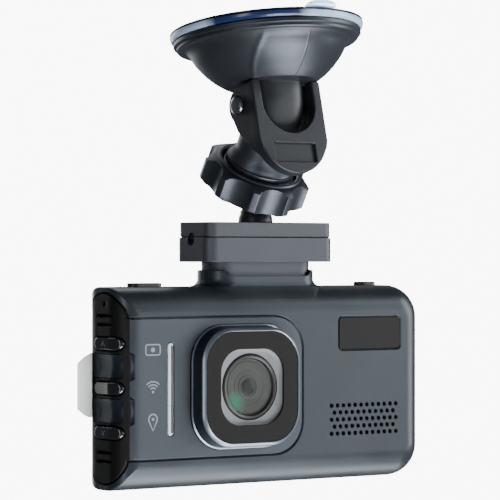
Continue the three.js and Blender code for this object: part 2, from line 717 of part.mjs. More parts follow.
function ballStud() {
  const base = HOLDER.top + 0.2;
  const neck = 3.2;
  const neckAngle = THREE.MathUtils.radToDeg(Math.asin(neck / BALL_RADIUS)) - 90;
  const profile = [
    [1.8, base], [4.8, base], [4.6, base + 1.2], [4.3, base + 3.3],
    ...arcPoints(0, BALL_Z_IN_BODY, BALL_RADIUS, neckAngle, 80, 7),
    [0, BALL_Z_IN_BODY + BALL_RADIUS], [0, base + 5], [1.8, base + 5], [1.8, base],
  ];
  return turned(profile, 20).translate([0, DOCK_Y, 0]);
}

function studPieces() {
  const screw = turned([
    [0, 41.9], [3, 41.9], [3, 43.2], [PIN_RADIUS, 43.2], [PIN_RADIUS, 50.2], [0, 50.2],
  ], 14).translate([0, DOCK_Y, 0]);
  return assembly(
    node('ball_stud', ballStud(), GLOSS_BLACK),
    node('stud_screw', screw, STEEL),
  );
}

// Outline of the nut: nine shallow finger scallops between narrow lobes.
function nutOutline() {
  const points = [];
  const pitch = (2 * Math.PI) / NUT.lobes;
  const lobe = pitch * 0.11;
  const scallopDepth = 1.7;
  const steps = 4;
  for (let k = 0; k < NUT.lobes; k += 1) {
    const start = k * pitch + lobe;
    const span = pitch - 2 * lobe;
    for (let s = 0; s <= steps; s += 1) {
      const t = s / steps;
      const radius = NUT.radius - scallopDepth * Math.sin(Math.PI * t);
      const angle = start + span * t - Math.PI / 2 - pitch / 2;
      points.push([radius * Math.cos(angle), radius * Math.sin(angle)]);
    }
  }
  return polygon(points);
}

function lockingNut() {
  const outside = NUT.radius + 1;
  const core = turned([
    [NUT.mouth, NUT.low], [outside, NUT.low], [outside, NUT.top - 0.9],
    [12.1, NUT.top + 0.4], [11.8, NUT.ring], [NUT.bore, NUT.ring],
    [NUT.bore, NUT.low + 0.6], [NUT.mouth, NUT.low + 0.6], [NUT.mouth, NUT.low],
  ], 27);
  return core.intersect(prism('z', nutOutline(), NUT.low - 1, NUT.ring + 1));
}

function ballSeat() {
  const low = NUT.low + 0.9;
  const lowAngle = THREE.MathUtils.radToDeg(Math.asin(low / CUP_RADIUS));
  const inner = arcPoints(0, 0, CUP_RADIUS, lowAngle, 0, 3);
  return turned([...inner, [NUT.bore - 0.5, 0], [NUT.bore - 0.5, low], inner[0]], 24);
}

// ---------------------------------------------------------------- suction head

const SUCTION_TURN = THREE.MathUtils.degToRad(-SUCTION_LEAN);
const NUT_TURN = THREE.MathUtils.degToRad(NUT_LEAN);

// One section of the neck: a rounded square across X and a line leaning back by `lean` degrees.
function neckRing(y, z, halfX, halfDepth, lean, squareness) {
  const points = [];
  const count = 20;
  const angle = THREE.MathUtils.degToRad(lean);
  for (let k = 0; k < count; k += 1) {
    const turn = (2 * Math.PI * k) / count;
    const round = (value) => Math.sign(value) * Math.abs(value) ** (2 / squareness);
    const across = halfX * round(Math.cos(turn));
    const along = halfDepth * round(Math.sin(turn));
    points.push(new THREE.Vector3(across, y + along * Math.cos(angle), z + along * Math.sin(angle)));
  }
  return points;
}

// Neck and arm, in the suction frame, from the ball's collar up to the dome.
function neck() {
  const lean = NUT_LEAN + SUCTION_LEAN;
  const angle = THREE.MathUtils.degToRad(lean);
  const ball = BALL.clone().applyAxisAngle(new THREE.Vector3(1, 0, 0), -SUCTION_TURN);
  const alongNut = (distance) => (
    [ball.y - distance * Math.sin(angle), ball.z + distance * Math.cos(angle)]);
  const rings = [
    neckRing(...alongNut(0.4), COLLAR_RADIUS, COLLAR_RADIUS, lean, 2),
    neckRing(...alongNut(4.9), COLLAR_RADIUS, COLLAR_RADIUS, lean, 2),
    neckRing(...alongNut(5), 9.7, 9.7, lean, 2),
    neckRing(...alongNut(8.2), 8.2, 8.2, lean, 2.2),
    neckRing(3.4, PIN_DROP - 7.2, 7.4, 6.8, 34, 2.6),
    neckRing(1, PIN_DROP - 3.4, 7, 6.7, 18, 3.2),
    neckRing(0, PIN_DROP, 7, 6.9, 0, 3.6),
    neckRing(0, DOME_LOW + 2.5, 7, 6.9, 0, 3.6),
  ];
  const cup = new THREE.SphereGeometry(CUP_RADIUS, 20, 12).translate(0, ball.y, ball.z);
  return lofted(rings).subtract(solid(cup));
}

function bell() {
  const { radius, top, low } = FLANGE;
  return turned([
    [21, top], [radius, top], [radius, top - 1.2], [radius - 0.8, top - 1.4], [radius - 0.8, low],
    [23.2, low], [21.9, -6.6], [20.6, -8.9], [17.9, -12.1], [15.6, -14.2], [13, DOME_LOW],
    [3.9, DOME_LOW], [3.9, -13.4], [10.5, -13.4], [15.5, -11.6], [18.5, -9], [20.4, -6], [21, top],
  ], 32);
}

function suctionHousing() {
  const plungerBore = prism('z', circle(0, 0, 3.9, 16), PIN_DROP - 5.8, -13);
  const travel = 2.2;
  const slot = roundedOutline(-2, 2, PIN_DROP - travel - 2, PIN_DROP + 2, 1.95);
  return cut(bell().add(neck()), plungerBore, prism('x', slot, -12, 12));
}

function suctionPad() {
  return turned([[0, PAD.top], [PAD.radius, PAD.top], [PAD.radius - 0.3, PAD.low], [0, PAD.low]], 32);
}

function padFilm() {
  const disc = turned([[0, -PAD.film], [PAD.radius - 0.1, -PAD.film], [PAD.radius - 0.1, 0], [0, 0]], 32);
  const edge = PAD.radius;
  const curl = polygon([
    [edge - 2, -PAD.film], [edge - 0.1, -PAD.film], [edge + 1, 0.6], [edge + 1.7, PAD.tabTop],
    [edge + 1.3, PAD.tabTop], [edge + 0.6, 0.8], [edge - 0.4, 0], [edge - 2, 0],
  ]);
  const tab = prism('y', curl, -PAD.tabHalf, PAD.tabHalf).rotate([0, 0, PAD.tabTurn]);
  return disc.add(tab);
}

function plunger() {
  const stem = turned([
    [0, -3], [10, -3], [10, -4.4], [3.5, -4.4], [3.5, PIN_DROP - 3.2], [0, PIN_DROP - 3.2],
  ], 24);
  return stem.subtract(prism('x', circle(0, PIN_DROP, PIN_RADIUS + GAP, 12), -9, 9));
}

class Helix extends THREE.Curve {
  constructor(radius, low, high, turns) {
    super();
    Object.assign(this, { radius, low, high, turns });
  }

  getPoint(t) {
    const angle = 2 * Math.PI * this.turns * t;
    const z = this.low + (this.high - this.low) * t;
    return new THREE.Vector3(this.radius * Math.cos(angle), this.radius * Math.sin(angle), z);
  }
}

function plungerSpring() {
  const path = new Helix(6, -12.5, -5.3, 3.5);
  const wire = circle(0, 0, 0.5, 5);
  return solid(new THREE.ExtrudeGeometry(wire, { steps: 35, extrudePath: path, bevelEnabled: false }));
}

function leverPin() {
  const shank = prism('x', circle(0, 0, PIN_RADIUS, 12), -12.1, 12.1);
  return shank.add(prism('x', circle(0, 0, 2.7, 14), -13.2, -12.05));
}

function pinNut() {
  const hole = prism('x', circle(0, 0, PIN_RADIUS + GAP, 12), 9, 15);
  return prism('x', circle(0, 0, 2.9, 6), 12.05, 13.7).subtract(hole);
}

// Lever in its own frame: pin at the origin, plate hanging along -Z, front face towards -Y.
function suctionLever() {
  const { half, slotHalf, front, back, low, slotLow } = LEVER;
  const cam = arcPoints(front + CAM_RADIUS, 0, CAM_RADIUS, 90, 180, 6);
  const boss = arcPoints(0, 0, 5, -40, 80, 7);
  const side = polygon([...boss, ...cam, [front, low], [back, low], [back, -16], [2.6, -6.8]]);
  const face = roundedOutline(-half, half, low, CAM_RADIUS + 1, [half - 0.2, half - 0.2, 0.5, 0.5]);
  const slot = roundedOutline(-slotHalf, slotHalf, slotLow, CAM_RADIUS + 3, [7, 7, 0.5, 0.5]);
  const grip = roundedOutline(-6.9, 6.9, -17.9, -12.5, 0.4);
  return cut(
    prism('x', side, -half, half).intersect(prism('y', face, -20, 20, 4)),
    prism('y', slot, -20, 20, 4),
    box(-slotHalf, slotHalf, back, 20, low - 1, CAM_RADIUS + 1),
    prism('y', grip, front - 1, front + 0.8, 1),
    prism('x', circle(0, 0, PIN_RADIUS + GAP, 12), -20, 20),
  );
}

function suctionHead() {
  const lever = assembly(node('suction_lever', suctionLever(), GUNMETAL));
  lever.rotation.x = THREE.MathUtils.degToRad(-LEVER_HANG);
  const atPin = assembly(
    node('lever_pin', leverPin(), STEEL),
    node('pin_nut', pinNut(), STEEL),
    lever,
  );
  atPin.position.z = PIN_DROP;
  const head = assembly(
    node('suction_housing', suctionHousing(), GUNMETAL),
    node('suction_pad', suctionPad(), PAD_GEL),
    node('pad_film', padFilm(), FILM_BLUE),
    node('plunger', plunger(), SATIN_BLACK),
    node('plunger_spring', plungerSpring(), STEEL),
    atPin,
  );
  head.rotation.x = SUCTION_TURN;
  return head;
}

// ---------------------------------------------------------------- whole object

const atNut = assembly(
  node('locking_nut', lockingNut(), GUNMETAL),
  node('ball_seat', ballSeat(), MATTE_BLACK),
);
atNut.position.copy(BALL);
atNut.rotation.x = NUT_TURN;

const hanging = assembly(camera(), holder(), studPieces());
hanging.position.copy(BODY_FROM_ORIGIN);

const group = assembly(suctionHead(), atNut, hanging);

export default group;
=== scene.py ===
"""Looks of the dash camera: fine surfaces, materials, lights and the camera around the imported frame.

Pieces are built in millimetres in a local frame each, and placed into the row frame in metres.
Body frame: X = 0 mid-width, Y = 0 front face, Z = 0 mid-height. Suction, nut and lever have their own.
"""
import json
import math

import bmesh
import bpy
from mathutils import Matrix, Vector


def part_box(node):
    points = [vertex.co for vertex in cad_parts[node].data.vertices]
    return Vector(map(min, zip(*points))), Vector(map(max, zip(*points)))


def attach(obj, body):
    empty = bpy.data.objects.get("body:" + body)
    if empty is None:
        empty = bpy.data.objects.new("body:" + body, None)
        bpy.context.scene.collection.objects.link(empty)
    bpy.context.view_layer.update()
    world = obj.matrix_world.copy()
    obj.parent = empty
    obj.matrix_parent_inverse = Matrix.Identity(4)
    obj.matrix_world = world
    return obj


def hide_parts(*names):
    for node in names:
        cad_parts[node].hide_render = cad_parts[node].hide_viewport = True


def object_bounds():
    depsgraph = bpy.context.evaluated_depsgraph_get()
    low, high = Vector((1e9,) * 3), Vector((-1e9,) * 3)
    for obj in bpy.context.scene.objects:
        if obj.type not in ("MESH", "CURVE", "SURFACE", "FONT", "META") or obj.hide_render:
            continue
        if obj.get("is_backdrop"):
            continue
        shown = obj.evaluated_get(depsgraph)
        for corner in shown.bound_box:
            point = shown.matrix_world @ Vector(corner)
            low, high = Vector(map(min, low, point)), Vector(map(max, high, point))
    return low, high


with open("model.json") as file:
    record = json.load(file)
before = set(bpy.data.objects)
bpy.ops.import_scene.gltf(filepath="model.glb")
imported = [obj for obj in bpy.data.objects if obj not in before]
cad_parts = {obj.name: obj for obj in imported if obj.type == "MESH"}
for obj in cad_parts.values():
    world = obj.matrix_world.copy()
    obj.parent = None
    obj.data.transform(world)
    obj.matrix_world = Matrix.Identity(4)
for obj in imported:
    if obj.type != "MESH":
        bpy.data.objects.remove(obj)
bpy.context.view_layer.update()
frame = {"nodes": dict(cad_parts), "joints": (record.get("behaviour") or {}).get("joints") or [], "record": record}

# ------------------------------------------------------------------ driving dimensions, millimetres

MM = 0.001
WIDTH, HEIGHT, DEPTH = 103, 55, 20
EDGE_ROUND = 8
END_ROUND = 6.5
CORNER_ROUND = 8.5
WALL = 1.8
FRONT_WALL = 2.4
SPLIT_Y = 11
GAP = 0.3

PANEL_LEFT, PANEL_RIGHT, PANEL_HALF, PANEL_CORNER = -48.4, 7.85, 18.9, 9
PANEL_THICK = 1.2
LENS_X = -12.4
HOOD_HALF, HOOD_CORNER = 17, 10
BAR_X, BAR_HALF, BAR_LOW, BAR_HIGH = -35.8, 0.95, -12.8, 12.4
LASER = (21, 42.5, 9.5, 18.5)
GRILLE_X, GRILLE_Z, GRILLE_PITCH_X, GRILLE_PITCH_Z = 29.65, -10.25, 2.08, 1.98
KEY_HALF, KEY_PITCH, KEY_MIDDLE = 1.65, 12, 0.2
KEY_FRONT, KEY_REAR = 2, 13.2
ARCH_FRONT, ARCH_REAR, ARCH_HALF, ARCH_CORNER = 1.6, 16.8, 25.6, 7
SIDE_FRONT = 1
DOCK_Y = 11.5
BOSS_X, BOSS_Y, BOSS_CORNER, BOSS_LOW = 16.6, 6, 5, 30.1
HOLDER_X, HOLDER_Y, HOLDER_LOW, HOLDER_PART, HOLDER_TOP = 21.5, 8.6, 34.2, 41, 45.25
PIN_DROP = 22.3
LEVER_HANG = 5.5
DOME_LOW = -16
NUT_RADIUS, NUT_LOW, NUT_TOP, NUT_RING, NUT_BORE, NUT_LOBES = 15.4, -4.9, 3, 3.9, 10.9, 9
NUT_PHASE = math.radians(9)
BALL_RADIUS = 8.5

# ------------------------------------------------------------------ frames

JOINTS = {joint["name"]: joint for joint in frame["joints"]}


def leaning_frame(place, axis):
    """Frame at `place`, in metres, whose Z runs along `axis`: turned about X only."""
    turn = math.atan2(-axis[1], axis[2])
    return Matrix.Translation(place) @ Matrix.Rotation(turn, 4, "X") @ Matrix.Scale(MM, 4)


rear_low, rear_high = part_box("rear_shell")
front_low, front_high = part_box("front_shell")
BODY_PLACE = Vector(((rear_low.x + rear_high.x) / 2, front_low.y, rear_low.z + HEIGHT / 2 * MM))
BODY = Matrix.Translation(BODY_PLACE) @ Matrix.Scale(MM, 4)
SUCTION = leaning_frame((0, 0, 0), frame["record"]["mounts"][0]["axis"])
NUT = leaning_frame(JOINTS["nut_turn"]["pos_m"], JOINTS["nut_turn"]["axis"])
PIN = SUCTION @ Matrix.Translation((0, 0, -PIN_DROP))
LEVER = PIN @ Matrix.Rotation(math.radians(-LEVER_HANG), 4, "X")

# ------------------------------------------------------------------ outlines: lists of (u, v)


def arc(u, v, radius, start, end, steps=8):
    """Points on an arc, angles in degrees, both ends included."""
    points = []
    for k in range(steps + 1):
        angle = math.radians(start + (end - start) * k / steps)
        points.append((u + radius * math.cos(angle), v + radius * math.sin(angle)))
    return points


def rounded(left, right, low, high, radii, steps=8):
    """Rounded rectangle; radii run low-left, low-right, high-right, high-left."""
    a, b, c, d = radii if isinstance(radii, tuple) else (radii,) * 4
    points = arc(left + a, low + a, a, 180, 270, steps)
    points += arc(right - b, low + b, b, 270, 360, steps)
    points += arc(right - c, high - c, c, 0, 90, steps)
    points += arc(left + d, high - d, d, 90, 180, steps)
    return points


def square(x, z, half, corner, steps=10):
    return rounded(x - half, x + half, z - half, z + half, corner, steps)


def circle(u, v, radius, steps=32):
    return arc(u, v, radius, 0, 360, steps)[:-1]


def stroke(points, width):
    """Outline of an open line of the given width."""
    left, right = [], []
    for k, point in enumerate(points):
        here = Vector(point)
        before = Vector(points[max(k - 1, 0)])
        after = Vector(points[min(k + 1, len(points) - 1)])
        along = (after - before).normalized()
        side = Vector((-along.y, along.x)) * width / 2
        left.append(tuple(here + side))
        right.append(tuple(here - side))
    return left + right[::-1]


# ------------------------------------------------------------------ meshes, built in millimetres


def weld(mesh):
    merged = bmesh.new()
    merged.from_mesh(mesh)
    bmesh.ops.remove_doubles(merged, verts=merged.verts[:], dist=1e-4)
    return merged


def plate(outlines, low, high, bevel=0.2, rounds=2):
    """Flat plate in the XY plane between Z low and high, all its edges rounded; inner outlines are holes."""
    curve = bpy.data.curves.new("outline", "CURVE")
    curve.dimensions = "2D"
    curve.fill_mode = "BOTH"
    curve.bevel_depth = bevel
    curve.bevel_resolution = rounds
    curve.offset = -bevel
    curve.extrude = (high - low) / 2 - bevel
    for outline in outlines:
        spline = curve.splines.new("POLY")
        spline.points.add(len(outline) - 1)
        for point, (u, v) in zip(spline.points, outline):
            point.co = (u, v, 0, 1)
        spline.use_cyclic_u = True
    holder = bpy.data.objects.new("outline", curve)
    bpy.context.scene.collection.objects.link(holder)
    bpy.context.view_layer.update()
    mesh = bpy.data.meshes.new_from_object(holder.evaluated_get(bpy.context.evaluated_depsgraph_get()))
    solid = weld(mesh)
    bpy.data.objects.remove(holder)
    bmesh.ops.translate(solid, verts=solid.verts[:], vec=(0, 0, (low + high) / 2))
    return solid


def facing_front(solid):
    """Turns a plate from XY so that its outline is (x, z) and its height runs along Y."""
    for vertex in solid.verts:
        x, z, y = vertex.co
        vertex.co = (x, y, z)
    return solid


def facing_side(solid):
    """Turns a plate from XY so that its outline is (y, z) and its height runs along X."""
    for vertex in solid.verts:
        y, z, x = vertex.co
        vertex.co = (x, y, z)
    return solid


def loft(rings, closed=False):
    """Skin through rings of equal point count; the ends are capped, or joined when closed."""
    skin = bmesh.new()
    rows = [[skin.verts.new(point) for point in ring] for ring in rings]
    count = len(rows[0])
    pairs = list(zip(rows, rows[1:]))
    if closed:
        pairs.append((rows[-1], rows[0]))
    for lower, upper in pairs:
        for k in range(count):
            after = (k + 1) % count
            skin.faces.new((lower[k], lower[after], upper[after], upper[k]))
    if not closed:
        skin.faces.new(rows[0])
        skin.faces.new(rows[-1])
    bmesh.ops.remove_doubles(skin, verts=skin.verts[:], dist=1e-5)
    return skin


def lathe(profile, steps=96, swell=None):
    """Turned solid about Z from (radius, z) points that start and end on the axis, or else close up."""
    on_axis = profile[0][0] == 0 and profile[-1][0] == 0
    rings = []
    for radius, z in profile:
        ring = []
        for k in range(steps):
            turn = 2 * math.pi * k / steps
            reach = radius + (swell(turn, z) if swell and radius > 1 else 0)
            ring.append((reach * math.cos(turn), reach * math.sin(turn), z))
        rings.append(ring)
    return loft(rings, closed=not on_axis)


def softened(profile, radius=0.3, steps=3, closed=True):
    """The profile with each of its corners rounded off."""
    points = [Vector(point) for point in profile]
    out = []
    for k, point in enumerate(points):
        if not closed and k in (0, len(points) - 1):
            out.append(tuple(point))
            continue
        before = points[k - 1]
        after = points[(k + 1) % len(points)]
        reach = min(radius, (before - point).length * 0.45, (after - point).length * 0.45)
        start = point + (before - point).normalized() * reach
        end = point + (after - point).normalized() * reach
        for s in range(steps + 1):
            t = s / steps
            out.append(tuple(start * (1 - t) ** 2 + point * 2 * t * (1 - t) + end * t ** 2))
    return out


def sliced(solid, axis, places):
    """Adds edges across the solid where planes at these places along the axis cut it, so it can bend."""
    normal = Vector([1 if k == axis else 0 for k in range(3)])
    for place in places:
        everything = solid.verts[:] + solid.edges[:] + solid.faces[:]
        bmesh.ops.bisect_plane(solid, geom=everything, plane_co=normal * place, plane_no=normal, dist=1e-4)
    return solid


def temporary(solid):
    bmesh.ops.recalc_face_normals(solid, faces=solid.faces[:])
    mesh = bpy.data.meshes.new("temporary")
    solid.to_mesh(mesh)
    solid.free()
    holder = bpy.data.objects.new("temporary", mesh)
    bpy.context.scene.collection.objects.link(holder)
    return holder


def combined(body, tools, operation="DIFFERENCE"):
    """Boolean of a body with other solids, all in the same frame."""
    target = temporary(body)
    others = [temporary(tool) for tool in tools]
    for other in others:
        step = target.modifiers.new("boolean", "BOOLEAN")
        step.operation = operation
        step.solver = "EXACT"
        step.object = other
    bpy.context.view_layer.update()
    graph = bpy.context.evaluated_depsgraph_get()
    result = weld(bpy.data.meshes.new_from_object(target.evaluated_get(graph)))
    for used in [target, *others]:
        bpy.data.objects.remove(used)
    return result


def joined(solids):
    """Several separate solids in one mesh."""
    whole = bmesh.new()
    for solid in solids:
        mesh = bpy.data.meshes.new("joined")
        solid.to_mesh(mesh)
        solid.free()
        whole.from_mesh(mesh)
    return whole


def piece(name, solid, place, body, material, replaced=(), sharp=32):
    """Puts a solid into the row frame as a named piece that rides on a body."""
    bmesh.ops.recalc_face_normals(solid, faces=solid.faces[:])
    solid.transform(place)
    mesh = bpy.data.meshes.new(name)
    solid.to_mesh(mesh)
    solid.free()
    mesh.shade_smooth()
    mesh.set_sharp_from_angle(angle=math.radians(sharp))
    item = bpy.data.objects.new(name, mesh)
    bpy.context.scene.collection.objects.link(item)
    mesh.materials.append(material)
    normals = item.modifiers.new("normals", "WEIGHTED_NORMAL")
    normals.keep_sharp = True
    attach(item, body)
    if replaced:
        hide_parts(*replaced)
    return item


# ------------------------------------------------------------------ materials


def new_material(name):
    material = bpy.data.materials.new(name)
    material.use_nodes = True
    nodes = material.node_tree.nodes
    return material, nodes, material.node_tree.links, nodes["Principled BSDF"]


def texture(nodes, links, scale, detail=3):
    """Noise over the object's own coordinates, `scale` in waves per metre."""
    place = nodes.new("ShaderNodeTexCoord")
    noise = nodes.new("ShaderNodeTexNoise")
    noise.inputs["Scale"].default_value = scale
    noise.inputs["Detail"].default_value = detail
    links.new(place.outputs["Object"], noise.inputs["Vector"])
    return noise


def ranged(nodes, links, source, low, high):
    spread = nodes.new("ShaderNodeMapRange")
    spread.inputs["From Min"].default_value = 0.3
    spread.inputs["From Max"].default_value = 0.7
    spread.inputs["To Min"].default_value = low
    spread.inputs["To Max"].default_value = high
    links.new(source, spread.inputs["Value"])
    return spread.outputs["Result"]


def toned(nodes, links, source, dark, light):
    """Colour that wanders between two tones."""
    ramp = nodes.new("ShaderNodeValToRGB")
    ramp.color_ramp.elements[0].position = 0.3
    ramp.color_ramp.elements[0].color = (*dark, 1)
    ramp.color_ramp.elements[1].position = 0.7
    ramp.color_ramp.elements[1].color = (*light, 1)
    links.new(source, ramp.inputs["Fac"])
    return ramp.outputs["Color"]


def finish(name, colour, rough, metal=0.0, grain=3000, relief=0.02, vary=0.08, coat=0.0, specular=0.5):
    """Paint, plastic or metal: fine grain in the surface, slow drift in tone and gloss."""
    material, nodes, links, shader = new_material(name)
    fine = texture(nodes, links, grain, 2)
    broad = texture(nodes, links, 55, 3)
    dark = tuple(channel * (1 - vary) for channel in colour)
    light = tuple(min(channel * (1 + vary), 1) for channel in colour)
    mix = nodes.new("ShaderNodeMath")
    mix.operation = "MULTIPLY_ADD"
    mix.inputs[1].default_value = 0.5
    links.new(fine.outputs["Fac"], mix.inputs[0])
    half = nodes.new("ShaderNodeMath")
    half.operation = "MULTIPLY"
    half.inputs[1].default_value = 0.5
    links.new(broad.outputs["Fac"], half.inputs[0])
    links.new(half.outputs["Value"], mix.inputs[2])
    links.new(toned(nodes, links, mix.outputs["Value"], dark, light), shader.inputs["Base Color"])
    gloss = ranged(nodes, links, broad.outputs["Fac"], rough * 0.9, min(rough * 1.12, 1))
    links.new(gloss, shader.inputs["Roughness"])
    bump = nodes.new("ShaderNodeBump")
    bump.inputs["Strength"].default_value = relief
    bump.inputs["Distance"].default_value = 0.0003
    links.new(fine.outputs["Fac"], bump.inputs["Height"])
    links.new(bump.outputs["Normal"], shader.inputs["Normal"])
    shader.inputs["Metallic"].default_value = metal
    shader.inputs["Coat Weight"].default_value = coat
    shader.inputs["Specular IOR Level"].default_value = specular
    return material


def see_through(name, colour, rough, transmission=0.0, alpha=1.0, ior=1.45):
    """Glass, gel or film."""
    material, nodes, links, shader = new_material(name)
    broad = texture(nodes, links, 120, 2)
    dark = tuple(channel * 0.94 for channel in colour)
    links.new(toned(nodes, links, broad.outputs["Fac"], dark, colour), shader.inputs["Base Color"])
    links.new(ranged(nodes, links, broad.outputs["Fac"], rough, rough * 1.4), shader.inputs["Roughness"])
    shader.inputs["Transmission Weight"].default_value = transmission
    shader.inputs["Alpha"].default_value = alpha
    shader.inputs["IOR"].default_value = ior
    return material


def spotted(name, place, radii, inside, outside, rough):
    """One tone within a distance of a place on the object and another beyond it, softly joined."""
    material, nodes, links, shader = new_material(name)
    here = nodes.new("ShaderNodeTexCoord")
    spot = nodes.new("ShaderNodeVectorMath")
    spot.operation = "DISTANCE"
    spot.inputs[1].default_value = place
    links.new(here.outputs["Object"], spot.inputs[0])
    ramp = nodes.new("ShaderNodeValToRGB")
    ramp.color_ramp.elements[0].position = radii[0]
    ramp.color_ramp.elements[0].color = (*inside, 1)
    ramp.color_ramp.elements[1].position = radii[1]
    ramp.color_ramp.elements[1].color = (*outside, 1)
    links.new(spot.outputs["Value"], ramp.inputs["Fac"])
    links.new(ramp.outputs["Color"], shader.inputs["Base Color"])
    fine = texture(nodes, links, 2600, 2)
    links.new(ranged(nodes, links, fine.outputs["Fac"], rough * 0.9, rough * 1.2), shader.inputs["Roughness"])
    return material


SLATE = finish("slate_paint", (0.0331, 0.0413, 0.0491), 0.36, 0.55, grain=5200, relief=0.05, vary=0.1)
PANEL_SLATE = finish("panel_paint", (0.0454, 0.0562, 0.0669), 0.42, 0.5, grain=5200, relief=0.06, vary=0.12)
HOOD_SLATE = finish("hood_paint", (0.018, 0.024, 0.034), 0.3, 0.5, grain=5200, relief=0.03)
# Painted highlight: a lighter copy of the hood paint, laid on the hood's base rim and front bead where light catches
# them.
HOOD_PAINTED_HIGHLIGHT = finish("hood_edge_painted_highlight", (0.176, 0.208, 0.248), 0.3, 0.7, grain=5200, relief=0.02)
HOLDER_PLASTIC = finish(
    "holder_plastic", (0.0452, 0.0500, 0.0613), 0.46, 0.3, grain=4200, relief=0.08, vary=0.12)
GUNMETAL = finish("gunmetal_plastic", (0.0503, 0.0567, 0.0683), 0.4, 0.75, grain=4200, relief=0.06, vary=0.1)
LEVER_PLASTIC = finish("lever_plastic", (0.0157, 0.0182, 0.0228), 0.38, 0.35, grain=4200, relief=0.07)
# Painted shade: a darker, less metallic copy of the gunmetal for the neck below the dome, which sits in shade under the
# bell.
NECK_PAINTED_SHADE = finish("neck_painted_shade", (0.016, 0.018, 0.022), 0.45, 0.35, grain=4200, relief=0.07)
DARK_STEEL = finish("burnished_steel", (0.2, 0.205, 0.22), 0.26, 0.95, grain=1800, relief=0.08)
GLOSS_BLACK = finish("gloss_black", (0.007, 0.007, 0.008), 0.12, 0, grain=900, relief=0.01, coat=0.6)
SATIN_BLACK = finish("satin_black", (0.012, 0.012, 0.013), 0.42, 0, grain=4000, relief=0.1)
FLAT_BLACK = finish("flat_black", (0.0063, 0.0063, 0.0061), 0.5, 0, grain=3600, relief=0.1, specular=0.16)
WINDOW_BLACK = finish(
    "window_black", (0.0050, 0.0050, 0.0050), 0.09, 0, grain=500, relief=0.005, specular=0.22)
FUNNEL = finish("funnel_grey", (0.152, 0.164, 0.172), 0.55, 0.15, grain=4200, relief=0.1)
RING_GREY = finish("ring_grey", (0.038, 0.039, 0.040), 0.35, 0.4, grain=4000, relief=0.05)
STEEL = finish("turned_steel", (0.62, 0.63, 0.65), 0.24, 1, grain=1800, relief=0.08)
ALUMINIUM = finish("bare_aluminium", (0.7, 0.71, 0.72), 0.32, 1, grain=1800, relief=0.08)
BRASS = finish("gold_contact", (0.78, 0.58, 0.25), 0.25, 1, grain=1800, relief=0.05)
CIRCUIT = finish("solder_mask", (0.012, 0.095, 0.05), 0.4, 0, grain=1500, relief=0.15, vary=0.25, coat=0.3)
CERAMIC = finish("ceramic", (0.66, 0.62, 0.52), 0.6, 0, grain=2500, relief=0.2)
GUIDE = finish("light_guide", (0.62, 0.65, 0.68), 0.28, 0.3, grain=2500, relief=0.02)
PRINT = finish("grey_print", (0.2080, 0.2328, 0.2632), 0.5, 0, grain=4000, relief=0.02)
FILM_WHITE = finish("milky_film", (0.870, 0.899, 0.870), 0.3, 0, grain=900, relief=0.03, coat=0.3)
FILM_NAVY = finish("navy_film", (0.012, 0.026, 0.085), 0.2, 0, grain=900, relief=0.03, coat=0.4)
TAB_BLUE = see_through("pale_blue_film", (0.42, 0.58, 0.82), 0.16, 0.35)
GEL = see_through("pad_gel", (0.50, 0.62, 0.78), 0.18, 0.3)
OPTICAL = see_through("coated_glass", (0.05, 0.055, 0.05), 0.04, alpha=0.22, ior=1.3)
SCREEN_FILM = see_through("clear_film", (0.55, 0.6, 0.64), 0.1, alpha=0.1, ior=1.3)
# Painted reflection: a green glint painted into the lens baffle at its lower left, dark grey elsewhere.
LENS_PAINTED_REFLECTION = spotted("lens_inside_painted_reflection", BODY @ Vector((LENS_X - 4.4, -3.2, -4.4)), (0.0021, 0.0031),
                      (0.03, 0.3, 0.17), (0.062, 0.063, 0.061), 0.42)
PAD_EDGE = spotted("pad_edge", SUCTION @ Vector((-17.7, -20.4, -1.2)), (0.0122, 0.0145),
                   (0.010, 0.022, 0.075), (0.36, 0.47, 0.62), 0.2)

SLOT_MATERIALS = {
    "slate_shell": SLATE,
    "slate_panel": PANEL_SLATE,
    "gunmetal": GUNMETAL,
    "gloss_black": GLOSS_BLACK,
    "satin_black": SATIN_BLACK,
    "funnel_grey": FUNNEL,
    "optical_glass": OPTICAL,
    "light_guide": GUIDE,
    "steel": STEEL,
    "heat_spreader": ALUMINIUM,
    "circuit_board": CIRCUIT,
    "ceramic": CERAMIC,
    "contacts": BRASS,
    "pad_gel": GEL,
    "blue_film": FILM_NAVY,
    "tab_white": FILM_WHITE,
}
for part in frame["record"]["subparts"]:
    node = frame["nodes"][part["node"]]
    node.data.materials.clear()
    node.data.materials.append(SLOT_MATERIALS[part["material_slot"]])

# ------------------------------------------------------------------ camera body


def drop(round_radius, y, inset=0.0):
    """How far the body's outline stands in at depth y, where a long edge is rounded."""
    depth = min(y, DEPTH - y)
    if depth >= round_radius:
        return inset
    reach = round_radius - inset
    return round_radius - math.sqrt(max(reach ** 2 - (round_radius - depth) ** 2, 0))


def body_ring(y, inset=0.0):
    dx = drop(END_ROUND, y, inset)
    dz = drop(EDGE_ROUND, y, inset)
    x = WIDTH / 2 - dx
    z = HEIGHT / 2 - dz
    corner = max(CORNER_ROUND - 0.9 * (dx + dz) / 2, 1.5)
    outline = rounded(-x, x, -z, z, (0.5, corner, corner, 0.5), 10)
    return [(u, y, v) for u, v in outline]


def rounding_depths(inset, steps=12):
    """Depths of the rings that follow the rounded front edge, closest together at the face."""
    reach = EDGE_ROUND - inset
    return [EDGE_ROUND - reach * math.cos(math.radians(90 * k / steps)) for k in range(steps + 1)]


